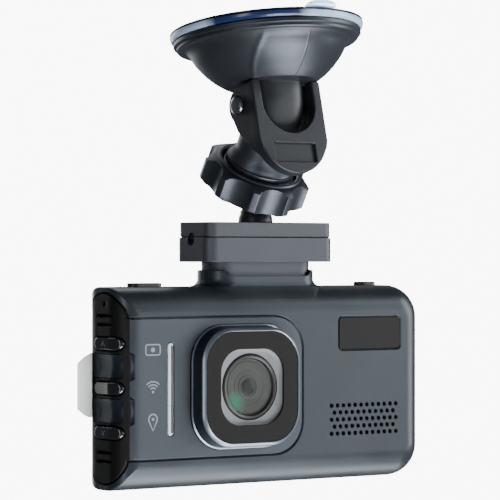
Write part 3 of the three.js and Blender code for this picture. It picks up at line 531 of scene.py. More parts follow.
def shell(front):
    """One half of the case as a hollow cup with a fine chamfer at the parting line."""
    seam = 0.12
    outer = rounding_depths(0) + [SPLIT_Y - seam if front else DEPTH - SPLIT_Y - seam]
    floor = FRONT_WALL if front else WALL
    inner = [y for y in rounding_depths(WALL) if y > floor + 0.2]
    split = SPLIT_Y if front else DEPTH - SPLIT_Y
    rings = [body_ring(y) for y in outer]
    rings += [body_ring(split, seam), body_ring(split, WALL)]
    rings += [body_ring(y, WALL) for y in reversed(inner)]
    rings.append(body_ring(floor, WALL))
    cup = loft(rings)
    if not front:
        for vertex in cup.verts:
            vertex.co.y = DEPTH - vertex.co.y
    return cup


def panel_outline(grow, notched=False):
    low, high = -PANEL_HALF - grow, PANEL_HALF + grow
    right = PANEL_RIGHT + grow
    corner = PANEL_CORNER + grow
    points = arc(right - corner, low + corner, corner, 270, 360, 14)
    points += arc(right - corner, high - corner, corner, 0, 90, 14)
    left = PANEL_LEFT - grow
    points += [(left, high)]
    if notched:
        for z_low, z_high in reversed(pad_spans()):
            points += scallop(left, z_low, z_high)
    points += [(left, low)]
    return points


def scallop(left, z_low, z_high):
    """Notch with rounded corners in the panel's left edge, where a thumb pad reaches in."""
    deep = 1.2
    soft = 0.5
    points = [(left, z_high + GAP + soft)]
    points += arc(left + deep - soft, z_high + GAP - soft, soft, 90, 0, 4)
    points += arc(left + deep - soft, z_low - GAP + soft, soft, 0, -90, 4)
    points += [(left, z_low - GAP - soft)]
    return points


def key_heights():
    return [KEY_MIDDLE + step * KEY_PITCH for step in (1, 0, -1)]


def pad_spans():
    """Height ranges of the scooped thumb pads between and beyond the keys."""
    margin = KEY_HALF + 1.15
    middle = KEY_PITCH - 2 * margin
    spans = [(z + margin, z + margin + middle) for z in reversed(key_heights()[1:])]
    return spans


def front_bend(solid):
    """Bends a plate that faces the front round the body's left end."""
    places = [-45 - k * 0.5 for k in range(13)]
    sliced(solid, 0, places)
    for vertex in solid.verts:
        reach = min(max(-45 - vertex.co.x, 0), END_ROUND - 0.02)
        vertex.co.y += END_ROUND - math.sqrt(END_ROUND ** 2 - reach ** 2)
    return solid


def side_bend(solid):
    """Bends a plate that faces the left end round the body's upright edges."""
    places = [0.6, 0.9, 1.2, 1.6, 2, 2.5, 3, 3.6, 4.2, 5, 5.8, 6.5, 13.5, 14.2, 15, 15.8, 16.4]
    sliced(solid, 1, places)
    for vertex in solid.verts:
        vertex.co.x += drop(END_ROUND, min(max(vertex.co.y, 0.3), DEPTH - 0.3))
    return solid


def flared(outline_at, deep, chamfer, side=False):
    """Cutter for a pocket whose mouth is chamfered; outline_at gives the outline for a growth."""
    levels = [(0, deep), (0, chamfer), (chamfer + 0.1, -0.1), (chamfer + 0.1, -2)]
    rings = []
    for grow, depth in levels:
        if side:
            rings.append([(depth - WIDTH / 2, u, v) for u, v in outline_at(grow)])
        else:
            rings.append([(u, depth, v) for u, v in outline_at(grow)])
    return loft(rings)


def laser_outline(grow):
    left, right, low, high = LASER
    grow += 0.2
    return rounded(left - grow, right + grow, low - grow, high + grow, 1 + grow)


def arch_outline(grow):
    z = ARCH_HALF + grow
    return rounded(ARCH_FRONT - grow, ARCH_REAR + grow, -z, z, ARCH_CORNER + grow, 12)


def block(x0, x1, y0, y1, z0, z1):
    return loft([[(x0, y0, z), (x1, y0, z), (x1, y1, z), (x0, y1, z)] for z in (z0, z1)])


def grille_cutters():
    holes = []
    for row in range(5):
        count = 12 - row % 2
        z = GRILLE_Z + (row - 2) * GRILLE_PITCH_Z
        for k in range(count):
            x = GRILLE_X + (k - (count - 1) / 2) * GRILLE_PITCH_X
            levels = [(0.6, 4), (0.6, 0.12), (0.75, -0.05), (0.75, -1)]
            holes.append(loft([[(u, y, v) for u, v in circle(x, z, r, 20)] for r, y in levels]))
    return joined(holes)


def button_outline(name, grow):
    low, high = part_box(name)
    to_body = BODY.inverted()
    a, b = to_body @ low, to_body @ high
    half = (b.y - a.y) / 2 + grow
    return rounded(a.x - grow, b.x + grow, a.y - grow, b.y + grow, half - 0.01, 10)


def shells():
    left_end = -WIDTH / 2
    arch_opening = side_bend(flared(lambda grow: arch_outline(grow + GAP), 4, 0.4, side=True))
    corner_opening = block(left_end - 2, PANEL_LEFT - GAP, -2, 8, -PANEL_HALF - GAP, PANEL_HALF + GAP)
    card_slot = block(46, 60, 10.45, 11.75, -14.5, -2.9)
    shared = []
    for name in ("power_button", "record_button"):
        shared.append(plate([button_outline(name, GAP)], 20, 30, 0.01, 0))
    shared.append(card_slot)
    laser_opening = block(LASER[0] + 2, LASER[1] - 2, 1, 4, LASER[2] + 2, LASER[3] - 2)
    throat = loft([[(u, y, v) for u, v in circle(LENS_X, 0, 9.6, 64)] for y in (-1, 4)])
    front_cutters = [
        front_bend(flared(lambda grow: panel_outline(grow + GAP), PANEL_THICK + 0.2, 0.4)),
        arch_opening.copy(), corner_opening, flared(laser_outline, 1.2, 0.35),
        laser_opening, throat, grille_cutters(), *[cutter.copy() for cutter in shared],
    ]
    front = combined(shell(True), front_cutters)
    piece("case_front", front, BODY, "camera", SLATE, ["front_shell"])
    glass = rounded(-39.3, 39.3, -21.8, 21.8, 1.5)
    opening = rounded(-36.3, 36.3, -18.8, 18.8, 0.6)
    wells = [facing_front(plate([circle(side * 44.5, -19, 2.2, 32)], 17.2, 21, 0.01, 0)) for side in (-1, 1)]
    rear_cutters = [
        arch_opening, facing_front(plate([glass], 18.6, 21, 0.01, 0)),
        facing_front(plate([opening], 16, 19, 0.01, 0)), *wells, *shared,
    ]
    rear = combined(shell(False), rear_cutters)
    piece("case_rear", rear, BODY, "camera", SLATE, ["rear_shell"])


shells()

# ------------------------------------------------------------------ front panel and left end


def front_panel():
    clear = 0.1
    bar = rounded(BAR_X - BAR_HALF - clear, BAR_X + BAR_HALF + clear, BAR_LOW - clear, BAR_HIGH + clear,
                  BAR_HALF + 0.09)
    holes = [square(LENS_X, 0, HOOD_HALF + 0.15, HOOD_CORNER + 0.15, 14), bar]
    panel = facing_front(plate([panel_outline(0, notched=True), *holes], 0, PANEL_THICK, 0.16, 2))
    piece("front_cover", front_bend(panel), BODY, "camera", PANEL_SLATE, ["front_panel"])
    guide = rounded(BAR_X - BAR_HALF, BAR_X + BAR_HALF, BAR_LOW, BAR_HIGH, BAR_HALF - 0.01)
    guide_plate = facing_front(plate([guide], 0.12, 1.3, 0.3, 3))
    piece("light_strip", guide_plate, BODY, "camera", GUIDE, ["light_guide"])
    dark = rounded(BAR_X + 0.05, BAR_X + BAR_HALF - 0.2, BAR_LOW + 0.7, BAR_HIGH - 0.7, 0.34)
    piece("light_strip_slot", facing_front(plate([dark], 0.05, 0.6, 0.08, 1)), BODY, "camera",
          GLOSS_BLACK)


def side_outline():
    """Arch of the left end with the broader stretch between the panel's edges."""
    front = SIDE_FRONT
    z, step = ARCH_HALF, PANEL_HALF
    points = arc(ARCH_REAR - ARCH_CORNER, -z + ARCH_CORNER, ARCH_CORNER, 270, 360, 12)
    points += arc(ARCH_REAR - ARCH_CORNER, z - ARCH_CORNER, ARCH_CORNER, 0, 90, 12)
    points += arc(ARCH_FRONT + ARCH_CORNER, z - ARCH_CORNER, ARCH_CORNER, 90, 175, 12)
    points += [(front, step), (front, -step)]
    points += arc(ARCH_FRONT + ARCH_CORNER, -z + ARCH_CORNER, ARCH_CORNER, 185, 270, 12)
    return points


def slot_outline(front, rear, z, half):
    return rounded(front, rear, z - half, z + half, half - 0.01)


def left_end():
    x = -WIDTH / 2
    holes = [slot_outline(KEY_FRONT - GAP, KEY_REAR + GAP, z, KEY_HALF + GAP) for z in key_heights()]
    vents = [slot_outline(5.2, 12.6, z, 0.42) for z in (19.7, 17.3, -17.2, -19.6)]
    pads = [rounded(SIDE_FRONT + 1.2, 15, low, high, 0.8) for low, high in pad_spans()]
    microphone = circle(9, 22.9, 0.75, 20)
    cover = facing_side(plate([side_outline(), *holes, *vents, *pads, microphone], x, x + 1.5, 0.2, 2))
    piece("end_cover", side_bend(cover), BODY, "camera", FLAT_BLACK, ["side_key_panel"])
    for number, (low, high) in enumerate(pad_spans()):
        cushion = thumb_pad(low + 0.1, high - 0.1)
        piece(f"thumb_pad_{number}", cushion, BODY, "camera", HOOD_SLATE)
    backs = [facing_side(plate([rounded(4.5, 14.2, low, high, 1)], x + 1.5, x + 1.9, 0.1, 1))
             for low, high in ((15.6, 24.2), (-24.2, -15.6))]
    piece("vent_backs", joined(backs), BODY, "camera", FLAT_BLACK)


def wrap_point(travel, height, lift):
    """Point on the left end's surface: travel runs from the front face round the corner to the rear."""
    bend = END_ROUND * math.pi / 2
    centre = (-WIDTH / 2 + END_ROUND, END_ROUND)
    angle = min(travel, bend) / END_ROUND
    radius = END_ROUND + lift
    x = centre[0] - radius * math.sin(angle)
    y = centre[1] - radius * math.cos(angle) + max(travel - bend, 0)
    return (x, y, height)


def thumb_pad(low, high):
    """Scooped pad that wraps the corner: proud at its edges, sunk along its middle."""
    rings = []
    start = 2.25
    end = END_ROUND * math.pi / 2 + 8.2
    steps = 36
    for k in range(steps + 1):
        travel = start + (end - start) * k / steps
        ring = []
        fade = min(k / 5, 1, (steps - k) / 5)
        for s in range(15):
            t = s / 14
            scoop = 0.75 * fade * math.sin(math.pi * t) ** 0.8
            ring.append(wrap_point(travel, low + (high - low) * t, 0.02 - scoop))
        ring += [wrap_point(travel, high, -1.4), wrap_point(travel, low, -1.4)]
        rings.append(ring)
    return loft(rings)


def on_key(outline, proud):
    """Thin printed mark lying on a key's face."""
    surface = -WIDTH / 2 - 0.6
    return side_bend(facing_side(plate([outline], surface - proud, surface + 0.1, 0.01, 0)))


def keys():
    names = ("key_up", "key_ok", "key_down")
    bodies = ("up_key", "ok_key", "down_key")
    for name, body, z in zip(names, bodies, key_heights()):
        x = -WIDTH / 2
        cap = facing_side(plate([slot_outline(KEY_FRONT, KEY_REAR, z, KEY_HALF)], x - 0.6, x + 2.1, 0.4, 4))
        piece(f"{name}_cap", side_bend(cap), BODY, body, GLOSS_BLACK, [name])
        middle = 8.6
        marks = {
            "key_up": [[(middle - 0.75, z - 0.6), (middle, z + 0.6), (middle + 0.75, z - 0.6)]],
            "key_down": [[(middle - 0.75, z + 0.6), (middle, z - 0.6), (middle + 0.75, z + 0.6)]],
            "key_ok": [[(middle - 0.6, z + dz), (middle + 0.6, z + dz)] for dz in (-0.6, 0, 0.6)],
        }[name]
        strokes = joined([on_key(stroke(mark, 0.2), 0.03) for mark in marks])
        piece(f"{name}_mark", strokes, BODY, body, PRINT)
    for name, body in (("power_button", "power_key"), ("record_button", "record_key")):
        low, high = [BODY.inverted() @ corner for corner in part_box(name)]
        cap = plate([button_outline(name, 0)], low.z, high.z, 0.35, 3)
        piece(f"{name}_cap", cap, BODY, body, SATIN_BLACK, [name])


def printed_icons():
    """Generic signs beside the light strip: a frame, radio arcs and a place pin."""
    x = -41.6
    marks = []
    for radius in (1.15, 2, 2.85):
        marks.append(stroke(arc(x, -0.8, radius, 45, 135, 10), 0.36))
    marks.append(circle(x, -0.75, 0.36, 16))
    pin = arc(x, -8.1, 1.35, -30, 210, 20) + [(x, -11.2)]
    marks.append(stroke(pin + [pin[0]], 0.4))
    marks.append(circle(x, -8.1, 0.42, 16))
    frame_line = rounded(x - 2.3, x + 2.3, 9.2, 12, 0.6, 4)
    marks.append(stroke(frame_line + [frame_line[0]], 0.36))
    marks.append(circle(x, 10.6, 0.65, 18))
    prints = [facing_front(plate([mark], -0.02, 0.1, 0.005, 0)) for mark in marks]
    piece("printed_signs", joined(prints), BODY, "camera", PRINT)


# ------------------------------------------------------------------ lens


def square_ring(half, corner, y, x=LENS_X):
    return [(u, y, v) for u, v in square(x, 0, half, corner, 14)]


def lens():
    wall = [
        (17, 1.3), (17, 0.05), (17.12, -0.25), (17.05, -0.5), (16.72, -0.7), (16.5, -1.6),
        (16.36, -2.8), (16.3, -3.9), (16.26, -4.35), (16.1, -4.65), (15.6, -5.12), (15.42, -5.2),
        (15.3, -5.12), (15.28, -4.3), (13.1, -4.3), (12.9, -4.0), (12.9, 1.3),
    ]
    rings = [square_ring(half, HOOD_CORNER - (HOOD_HALF - half) * 0.6, y) for half, y in wall]
    hood = piece("hood", loft(rings, closed=True), BODY, "camera", HOOD_SLATE, ["lens_hood"])
    hood.data.materials.append(HOOD_PAINTED_HIGHLIGHT)
    front_y = BODY_PLACE.y
    # Faces of the base rim and the front bead take the painted highlight.
    for face in hood.data.polygons:
        rim = front_y - 5.16 * MM < face.center.y < front_y - 4.42 * MM
        bead = front_y - 0.62 * MM < face.center.y < front_y - 0.1 * MM
        outside = abs(face.normal.y) > 0.3
        if (rim or bead) and outside:
            face.material_index = 1
    bezel_outline = square(LENS_X, 0, 15.18, 8.8, 14)
    bezel_hole = square(LENS_X, 0, 10.4, 6.5, 14)
    bezel = facing_front(plate([bezel_outline, bezel_hole], -5.06, -4.4, 0.1, 2))
    piece("bezel", bezel, BODY, "camera", FLAT_BLACK, ["lens_bezel"])
    levels = [(10.9, 6.9, -4.32), (10.45, 6.5, -4.32), (10.1, 6.6, -4.1), (9.85, 7.2, -3.8),
              (9.5, 9.49, -3.62), (9.2, 9.19, -3.6), (9.15, 9.14, -1.5),
              (12.4, 7, -1.5), (12.5, 7, -4.32)]
    funnel = loft([square_ring(half, corner, y) for half, corner, y in levels], closed=True)
    piece("funnel", funnel, BODY, "camera", FUNNEL, ["lens_surround"])
    to_lens = BODY @ Matrix.Translation((LENS_X, 0, 0)) @ Matrix.Rotation(math.radians(90), 4, "X")
    ring = softened([(7.75, 1.5), (8.95, 1.5), (8.95, 3.5), (8.5, 3.95), (8.0, 3.8), (7.75, 3.3)], 0.15)
    piece("front_ring", lathe(ring, 128), to_lens, "camera", RING_GREY, ["lens_ring"])
    flat = softened([
        (0, 2.6), (2.7, 2.6), (2.75, 2.95), (3.2, 2.95), (3.3, 2.7), (4.6, 2.85),
        (4.7, 2.75), (5.0, 2.78), (5.1, 2.9), (7.0, 3.0), (7.1, 2.85), (7.35, 2.87), (7.45, 3.0),
        (7.7, 3.0), (7.7, 1.1), (6.6, 1.1), (6.6, -9.2), (0, -9.2),
    ], 0.08, 2, False)
    baffle = lathe(flat, 128)
    # The baffle carries the painted green reflection.
    piece("baffle", baffle, to_lens, "camera", LENS_PAINTED_REFLECTION, ["lens_barrel", "rear_lens"])
    dome = [(r, 3.72 - 0.5 * (r / 7.6) ** 2) for r in (0, 1.5, 3, 4.5, 6, 7, 7.5)]
    dome += [(7.6, 3.15), (7.6, 3.08)] + [(r, 3.58 - 0.5 * (r / 7.6) ** 2) for r in (7, 6, 4.5, 3, 1.5, 0)]
    piece("front_glass", lathe(dome, 128), to_lens, "camera", OPTICAL, ["front_lens"])
    pupil = [(0, 3.1), (0.8, 3.06), (1.5, 2.95), (2.1, 2.75), (2.4, 2.55), (2.4, 2.3), (0, 2.3)]
    piece("pupil_glass", lathe(pupil, 96), to_lens, "camera", WINDOW_BLACK, ["inner_lens"])
    for number, (radius, height) in enumerate(((2.15, 2.83), (1.25, 3.07))):
        rim = softened([(radius - 0.12, height - 0.2), (radius + 0.12, height - 0.2), (radius + 0.12, height),
                        (radius - 0.12, height)], 0.05)
        piece(f"element_ring_{number}", lathe(rim, 96), to_lens, "camera", RING_GREY)


def laser_window():
    left, right, low, high = LASER
    outline = rounded(left, right, low, high, 0.9)
    window = facing_front(plate([outline], 0.1, 1.1, 0.14, 2))
    piece("window", window, BODY, "camera", WINDOW_BLACK, ["laser_window"])


# ------------------------------------------------------------------ dock


def saddle():
    """Pedestal under the holder: flares into the body, with a seat between two end cheeks."""
    levels = [(20.4, 3.0, 22.0), (20.4, 3.1, 23.8), (20.4, 2.75, 24.3), (20.4, 2.35, 24.9),
              (20.4, 1.75, 25.6), (20.4, 1.1, 26.4), (20.4, 0.55, 27.2), (20.0, 0.35, 27.5),
              (19.2, 0.26, 27.65), (18.6, 0.15, 28.0), (18.2, 0.05, 28.5), (17.97, 0, 29.1), (17.9, 0, 29.8), (17.9, 0, 31.6), (17.75, -0.12, 31.9),
              (17.5, -0.35, 32)]
    half_depth, corner = 7.2, 6.5
    rings = []
    for half, spread, z in levels:
        front = DOCK_Y - half_depth - spread
        rear = DOCK_Y + half_depth + min(spread, 0.8)
        outline = rounded(-half, half, front, rear, corner + spread / 3, 12)
        rings.append([(u, v, z) for u, v in outline])
    seat_x, seat_y = BOSS_X + GAP, BOSS_Y + GAP
    seat = plate([rounded(-seat_x, seat_x, DOCK_Y - seat_y, DOCK_Y + seat_y, BOSS_CORNER)], 29.7, 34, 0.02, 0)
    gap = BOSS_X - BOSS_CORNER + 0.6
    high = 36
    lip = BOSS_LOW + 0.12
    valley = [(-gap, lip), (gap, lip)] + arc(gap, lip + 2.9, 2.9, -90, 0, 8)
    valley += [(gap + 2.9, high), (-gap - 2.9, high)] + arc(-gap, lip + 2.9, 2.9, 180, 270, 8)
    through = loft([[(u, y, v) for u, v in valley] for y in (-4, 26)])
    body = combined(loft(rings), [seat, through])
    piece("dock_saddle", body, BODY, "camera", SLATE)


def holder():
    low, high = HOLDER_LOW, HOLDER_TOP
    outline = rounded(-HOLDER_X, HOLDER_X, DOCK_Y - HOLDER_Y, DOCK_Y + HOLDER_Y, 3.2, 10)
    x, y = HOLDER_X - GAP, HOLDER_Y - GAP
    cover_outline = rounded(-x, x, DOCK_Y - y, DOCK_Y + y, 2.9, 10)
    boss = rounded(-BOSS_X, BOSS_X, DOCK_Y - BOSS_Y, DOCK_Y + BOSS_Y, BOSS_CORNER, 10)
    jack_y, jack_z = 12.3, 40.6
    bore_levels = ((1.8, -17.4), (1.8, -21.25), (2.05, -21.55), (2.05, -26))
    bore = loft([[(x, u, v) for u, v in circle(jack_y, jack_z, radius, 40)] for radius, x in bore_levels])
    tray = plate([outline], low, HOLDER_PART, 0.2, 3)
    lower = combined(tray, [plate([boss], BOSS_LOW, low + 1, 0.2, 2)], "UNION")
    magnet_x, pin_pitch, screw_x = 10.5, 2.6, 17.9
    wells = [
        block(side * magnet_x - 4.8, side * magnet_x + 4.8, DOCK_Y - 4.3, DOCK_Y + 4.3, 29, 33.1)
        for side in (-1, 1)
    ]
    inner = plate([rounded(-19.5, 19.5, DOCK_Y - 6.6, DOCK_Y + 6.6, 1.5)], 35.6, 42, 0.02, 0)
    pins = [
        plate([circle(step * pin_pitch, DOCK_Y, 0.8, 20)], 29, 36.2, 0.01, 0)
        for step in (-1.5, -0.5, 0.5, 1.5)
    ]
    cups = [plate([circle(side * screw_x, DOCK_Y + side * 5, 2, 24)], 33, 35.4, 0.01, 0) for side in (-1, 1)]
    lower = combined(lower, [inner, bore.copy(), *wells, *pins, *cups])
    piece("holder_base", lower, BODY, "holder", HOLDER_PLASTIC, ["holder_housing"])
    upper = plate([cover_outline], HOLDER_PART + 0.2, high, 0.22, 4)
    hollow = plate([rounded(-19.5, 19.5, DOCK_Y - 6.6, DOCK_Y + 6.6, 1.5)], 40, high - 1.85, 0.02, 0)
    stem = plate([circle(0, DOCK_Y, 1.9, 32)], 40, high + 1, 0.01, 0)
    upper = combined(upper, [bore, hollow, stem])
    piece("holder_lid", upper, BODY, "holder", HOLDER_PLASTIC, ["holder_cover"])
    liner = [
        rounded(-x + reach, x - reach, DOCK_Y - y + reach, DOCK_Y + y - reach, 2.6, 10)
        for reach in (0.3, 1.2)
    ]
    piece("parting_liner", plate(liner, 40.2, 42, 0.02, 0), BODY, "holder", FLAT_BLACK)
    barrel = softened([(0.95, -8.2), (1.7, -8.2), (1.7, 0), (1.35, 0), (1.35, -0.4), (0.95, -0.8)], 0.1)
    to_jack = BODY @ Matrix.Translation((-19.6, jack_y, jack_z)) @ Matrix.Rotation(math.radians(-90), 4, "Y")
    piece("jack_liner", lathe(barrel, 48), to_jack, "holder", STEEL)


def ball_stud():
    base = HOLDER_TOP + 0.05
    ball_z = (BODY.inverted() @ Vector(JOINTS["ball_tilt"]["pos_m"])).z
    neck = 3.2
    start = math.degrees(math.acos(neck / BALL_RADIUS))
    ball = arc(0, ball_z, BALL_RADIUS, -start, 90, 24)
    profile = [(1.8, base), (4.7, base), (4.85, base + 0.2), (4.75, base + 1.4),
               (4.35, base + 2.4), (4.3, base + 3.1), (3.7, base + 3.8), (3.3, base + 4.6)] + ball[:-1] + [(0, ball_z + BALL_RADIUS)]
    profile += [(0, base + 5), (1.8, base + 5)]
    rings = [(0, base + 5)] + [(1.8, base + 5)] + profile[:-2]
    to_dock = BODY @ Matrix.Translation((0, DOCK_Y, 0))
    piece("stud", lathe(rings, 96), to_dock, "stud", SATIN_BLACK, ["ball_stud"])


# ------------------------------------------------------------------ nut, neck and suction head


def nut_reach(turn):
    """Radius of the nut's outline at an angle: nine scallops between narrow lobes."""
    pitch = 2 * math.pi / NUT_LOBES
    offset = (turn + math.pi / 2 - NUT_PHASE) % pitch - pitch / 2
    half_chord, depth = 4.35, 1.75
    bite = (half_chord ** 2 + depth ** 2) / (2 * depth)
    centre = math.sqrt(NUT_RADIUS ** 2 - half_chord ** 2) - depth + bite
    if abs(centre * math.sin(offset)) >= bite:
        return NUT_RADIUS
    reach = centre * math.cos(offset) - math.sqrt(bite ** 2 - (centre * math.sin(offset)) ** 2)
    return min(reach, NUT_RADIUS)


def locking_nut():
    low, top, ring, bore = NUT_LOW, NUT_TOP, NUT_RING, NUT_BORE
    wide = NUT_RADIUS + 0.2
    core = [
        (8.4, low), (12.6, low), (14.3, low + 0.35), (wide, low + 1.3), (wide, top - 1.1), (14.4, top - 0.35),
        (13.4, top + 0.12), (12.5, top + 0.34), (12.2, top + 0.4),
        (12.0, ring - 0.12), (11.8, ring), (11.2, ring),
        (bore + 0.05, ring - 0.15), (bore, top - 1), (bore, low + 0.9), (8.6, low + 0.8), (8.4, low + 0.5),
    ]
    steps = NUT_LOBES * 60
    rings = []
    fine = softened(core, 0.25, 2)
    for radius, z in fine:
        ring_points = []
        for k in range(steps):
            turn = 2 * math.pi * k / steps
            reach = min(radius, nut_reach(turn)) if radius > 12.3 else radius
            ring_points.append((reach * math.cos(turn), reach * math.sin(turn), z))
        rings.append(ring_points)
    nut = loft(rings, closed=True)
    piece("grip_nut", nut, NUT, "nut", GUNMETAL, ["locking_nut"], sharp=24)
    threads = []
    for z in (2.9, 1.9):
        threads.append(lathe(softened([(9.9, z - 0.35), (10.5, z), (9.9, z + 0.35), (9.5, z)], 0.08), 96))
    piece("collar_thread", joined(threads), NUT, "suction_head", GUNMETAL)


def spun(values, t):
    """Catmull-Rom value along a list of tuples, t from 0 to 1."""
    spans = len(values) - 1
    place = min(t * spans, spans - 1e-6)
    k = int(place)
    f = place - k
    before, a = values[max(k - 1, 0)], values[k]
    b, after = values[k + 1], values[min(k + 2, spans)]
    out = []
    for p0, p1, p2, p3 in zip(before, a, b, after):
        out.append(0.5 * (2 * p1 + (p2 - p0) * f + (2 * p0 - 5 * p1 + 4 * p2 - p3) * f ** 2
                          + (3 * p1 - p0 - 3 * p2 + p3) * f ** 3))
    return out


def neck_ring(y, z, half_x, half_y, lean, power, count=72):
    """Rounded-square section of the neck, on a plane that leans by `lean` degrees."""
    angle = math.radians(lean)
    ring = []
    for k in range(count):
        turn = 2 * math.pi * k / count
        cos, sin = math.cos(turn), math.sin(turn)
        across = half_x * math.copysign(abs(cos) ** (2 / power), cos)
        along = half_y * math.copysign(abs(sin) ** (2 / power), sin)
        ring.append((across, y + along * math.cos(angle), z + along * math.sin(angle)))
    return ring


def neck():
    """Arm from the ball's collar up to the dome, in the suction frame."""
    to_suction = SUCTION.inverted() @ NUT
    ball = to_suction @ Vector((0, 0, 0))
    axis = (to_suction @ Vector((0, 0, 1))) - ball
    lean = math.degrees(math.atan2(-axis.y, axis.z))
    sections = []
    for distance, radius in ((1.2, 9.9), (4.4, 9.9), (4.7, 9.75), (4.9, 9.3), (6, 8.9), (8.3, 8.1)):
        place = ball + axis * distance
        sections.append((place.y, place.z, radius, radius, lean, 2))
    sections += [
        (3.4, -PIN_DROP - 7.2, 7.6, 6.9, 34, 2.5),
        (1.2, -PIN_DROP - 3.6, 7.8, 6.9, 16, 2.8),
        (0.1, -PIN_DROP, 8.1, 6.9, 2, 2.9),
        (0, -PIN_DROP + 3, 8.2, 6.9, 0, 2.9),
        (0, DOME_LOW + 2.5, 8.2, 6.9, 0, 2.9),
    ]
    steps = 90
    rings = [neck_ring(*spun(sections, k / steps)) for k in range(steps + 1)]
    hollow = lathe([(0, -9)] + [(8.85 * math.cos(math.radians(a)), 8.85 * math.sin(math.radians(a)))
                                for a in range(-80, 90, 10)] + [(0, 8.85)], 64)
    hollow.transform(to_suction)
    bore = facing_side(plate([rounded(-2, 2, -PIN_DROP - 4.2, -PIN_DROP + 2, 1.95)], -12, 12, 0.01, 0))
    well = plate([circle(0, 0, 3.9, 40)], -PIN_DROP - 5.8, -12, 0.01, 0)
    return combined(loft(rings), [hollow, bore, well])


def dome_swell(turn, z):
    """A soft moulded ridge and a fine parting line down the dome."""
    def bump(at, width, height):
        away = math.atan2(math.sin(turn - at), math.cos(turn - at))
        return height * math.exp(-(away / width) ** 2)
    if z > -5:
        return 0
    fade = min((-5 - z) / 1.5, 1)
    down = (-5 - z) / (-5 - DOME_LOW)
    ridge = bump(math.radians(-126 - 20 * down), 0.05, 0.2)
    return fade * (ridge + bump(math.radians(-94), 0.007, 0.1))


def suction_head():
    rim, step, under = 26.3, 25.5, -4.9
    curve = [(23.4, under), (22.6, -5.6), (21.9, -6.6), (21.3, -7.7), (20.5, -9.0),
             (19.5, -10.3), (18.3, -11.7), (17.0, -13.0), (15.6, -14.2), (14.3, -15.1), (13.4, -15.7), (12.9, DOME_LOW)]
    fine = [tuple(spun(curve, k / 44)) for k in range(45)]
    profile = [(21, -2.5), (rim - 0.2, -2.5), (rim, -2.7), (rim, -3.6), (rim - 0.2, -3.75),
               (step + 0.15, -3.8), (step, -3.9), (step, under + 0.3), (step - 0.3, under)]
    profile += fine
    profile += [(3.9, DOME_LOW), (3.9, -13.4), (10.5, -13.4), (15.5, -11.6), (18.5, -9), (20.4, -6)]
    dome = lathe(profile, 720, dome_swell)
    bell = combined(dome, [neck()], "UNION")
    housing = piece("suction_bell", bell, SUCTION, "suction_head", GUNMETAL, ["suction_housing"],
                    sharp=28)
    # The neck's faces from below the pin up to the dome take the painted shade, a darker copy of the gunmetal.
    housing.data.materials.append(NECK_PAINTED_SHADE)
    to_suction = SUCTION.inverted()
    for face in housing.data.polygons:
        centre = to_suction @ face.center
        if -PIN_DROP - 6.5 < centre.z < DOME_LOW - 0.1:
            face.material_index = 1
    edge = [(0, -0.5), (27.0, -0.5), (27.2, -0.8), (27.0, -1.6), (26.6, -2.3), (0, -2.3)]
    pad = softened(edge, 0.2, 3, False)
    piece("gel_pad", lathe(pad, 160), SUCTION, "suction_head", PAD_EDGE, ["suction_pad"])
    film = softened([(0, 0), (27.1, 0), (27.1, -0.3), (0, -0.3)], 0.08, 2, False)
    piece("navy_film_disc", lathe(film, 160), SUCTION, "suction_head", FILM_NAVY, ["pad_film"])
    piece("film_pull_tab", pull_tab(), SUCTION, "suction_head", TAB_BLUE)


def pull_tab():
    """Curled tongue of film past the pad's edge."""
    rings = []
    steps = 24
    for k in range(steps + 1):
        t = k / steps
        out = 25.6 + 3.1 * math.sin(t * math.pi / 2)
        lift = 0.02 + 1.7 * t ** 1.6
        half = 4.9 * math.sqrt(max(1 - (max(t - 0.5, 0) / 0.52) ** 2, 0.02))
        ring = []
        for s in range(9):
            side = half * (s / 4 - 1)
            ring.append((out, side, lift - 0.01 * side ** 2))
        for s in reversed(range(9)):
            side = half * (s / 4 - 1)
            ring.append((out, side, lift - 0.01 * side ** 2 - 0.14))
        rings.append(ring)
    tab = loft(rings)
    tab.transform(Matrix.Rotation(math.radians(-92), 4, "Z"))
    return tab


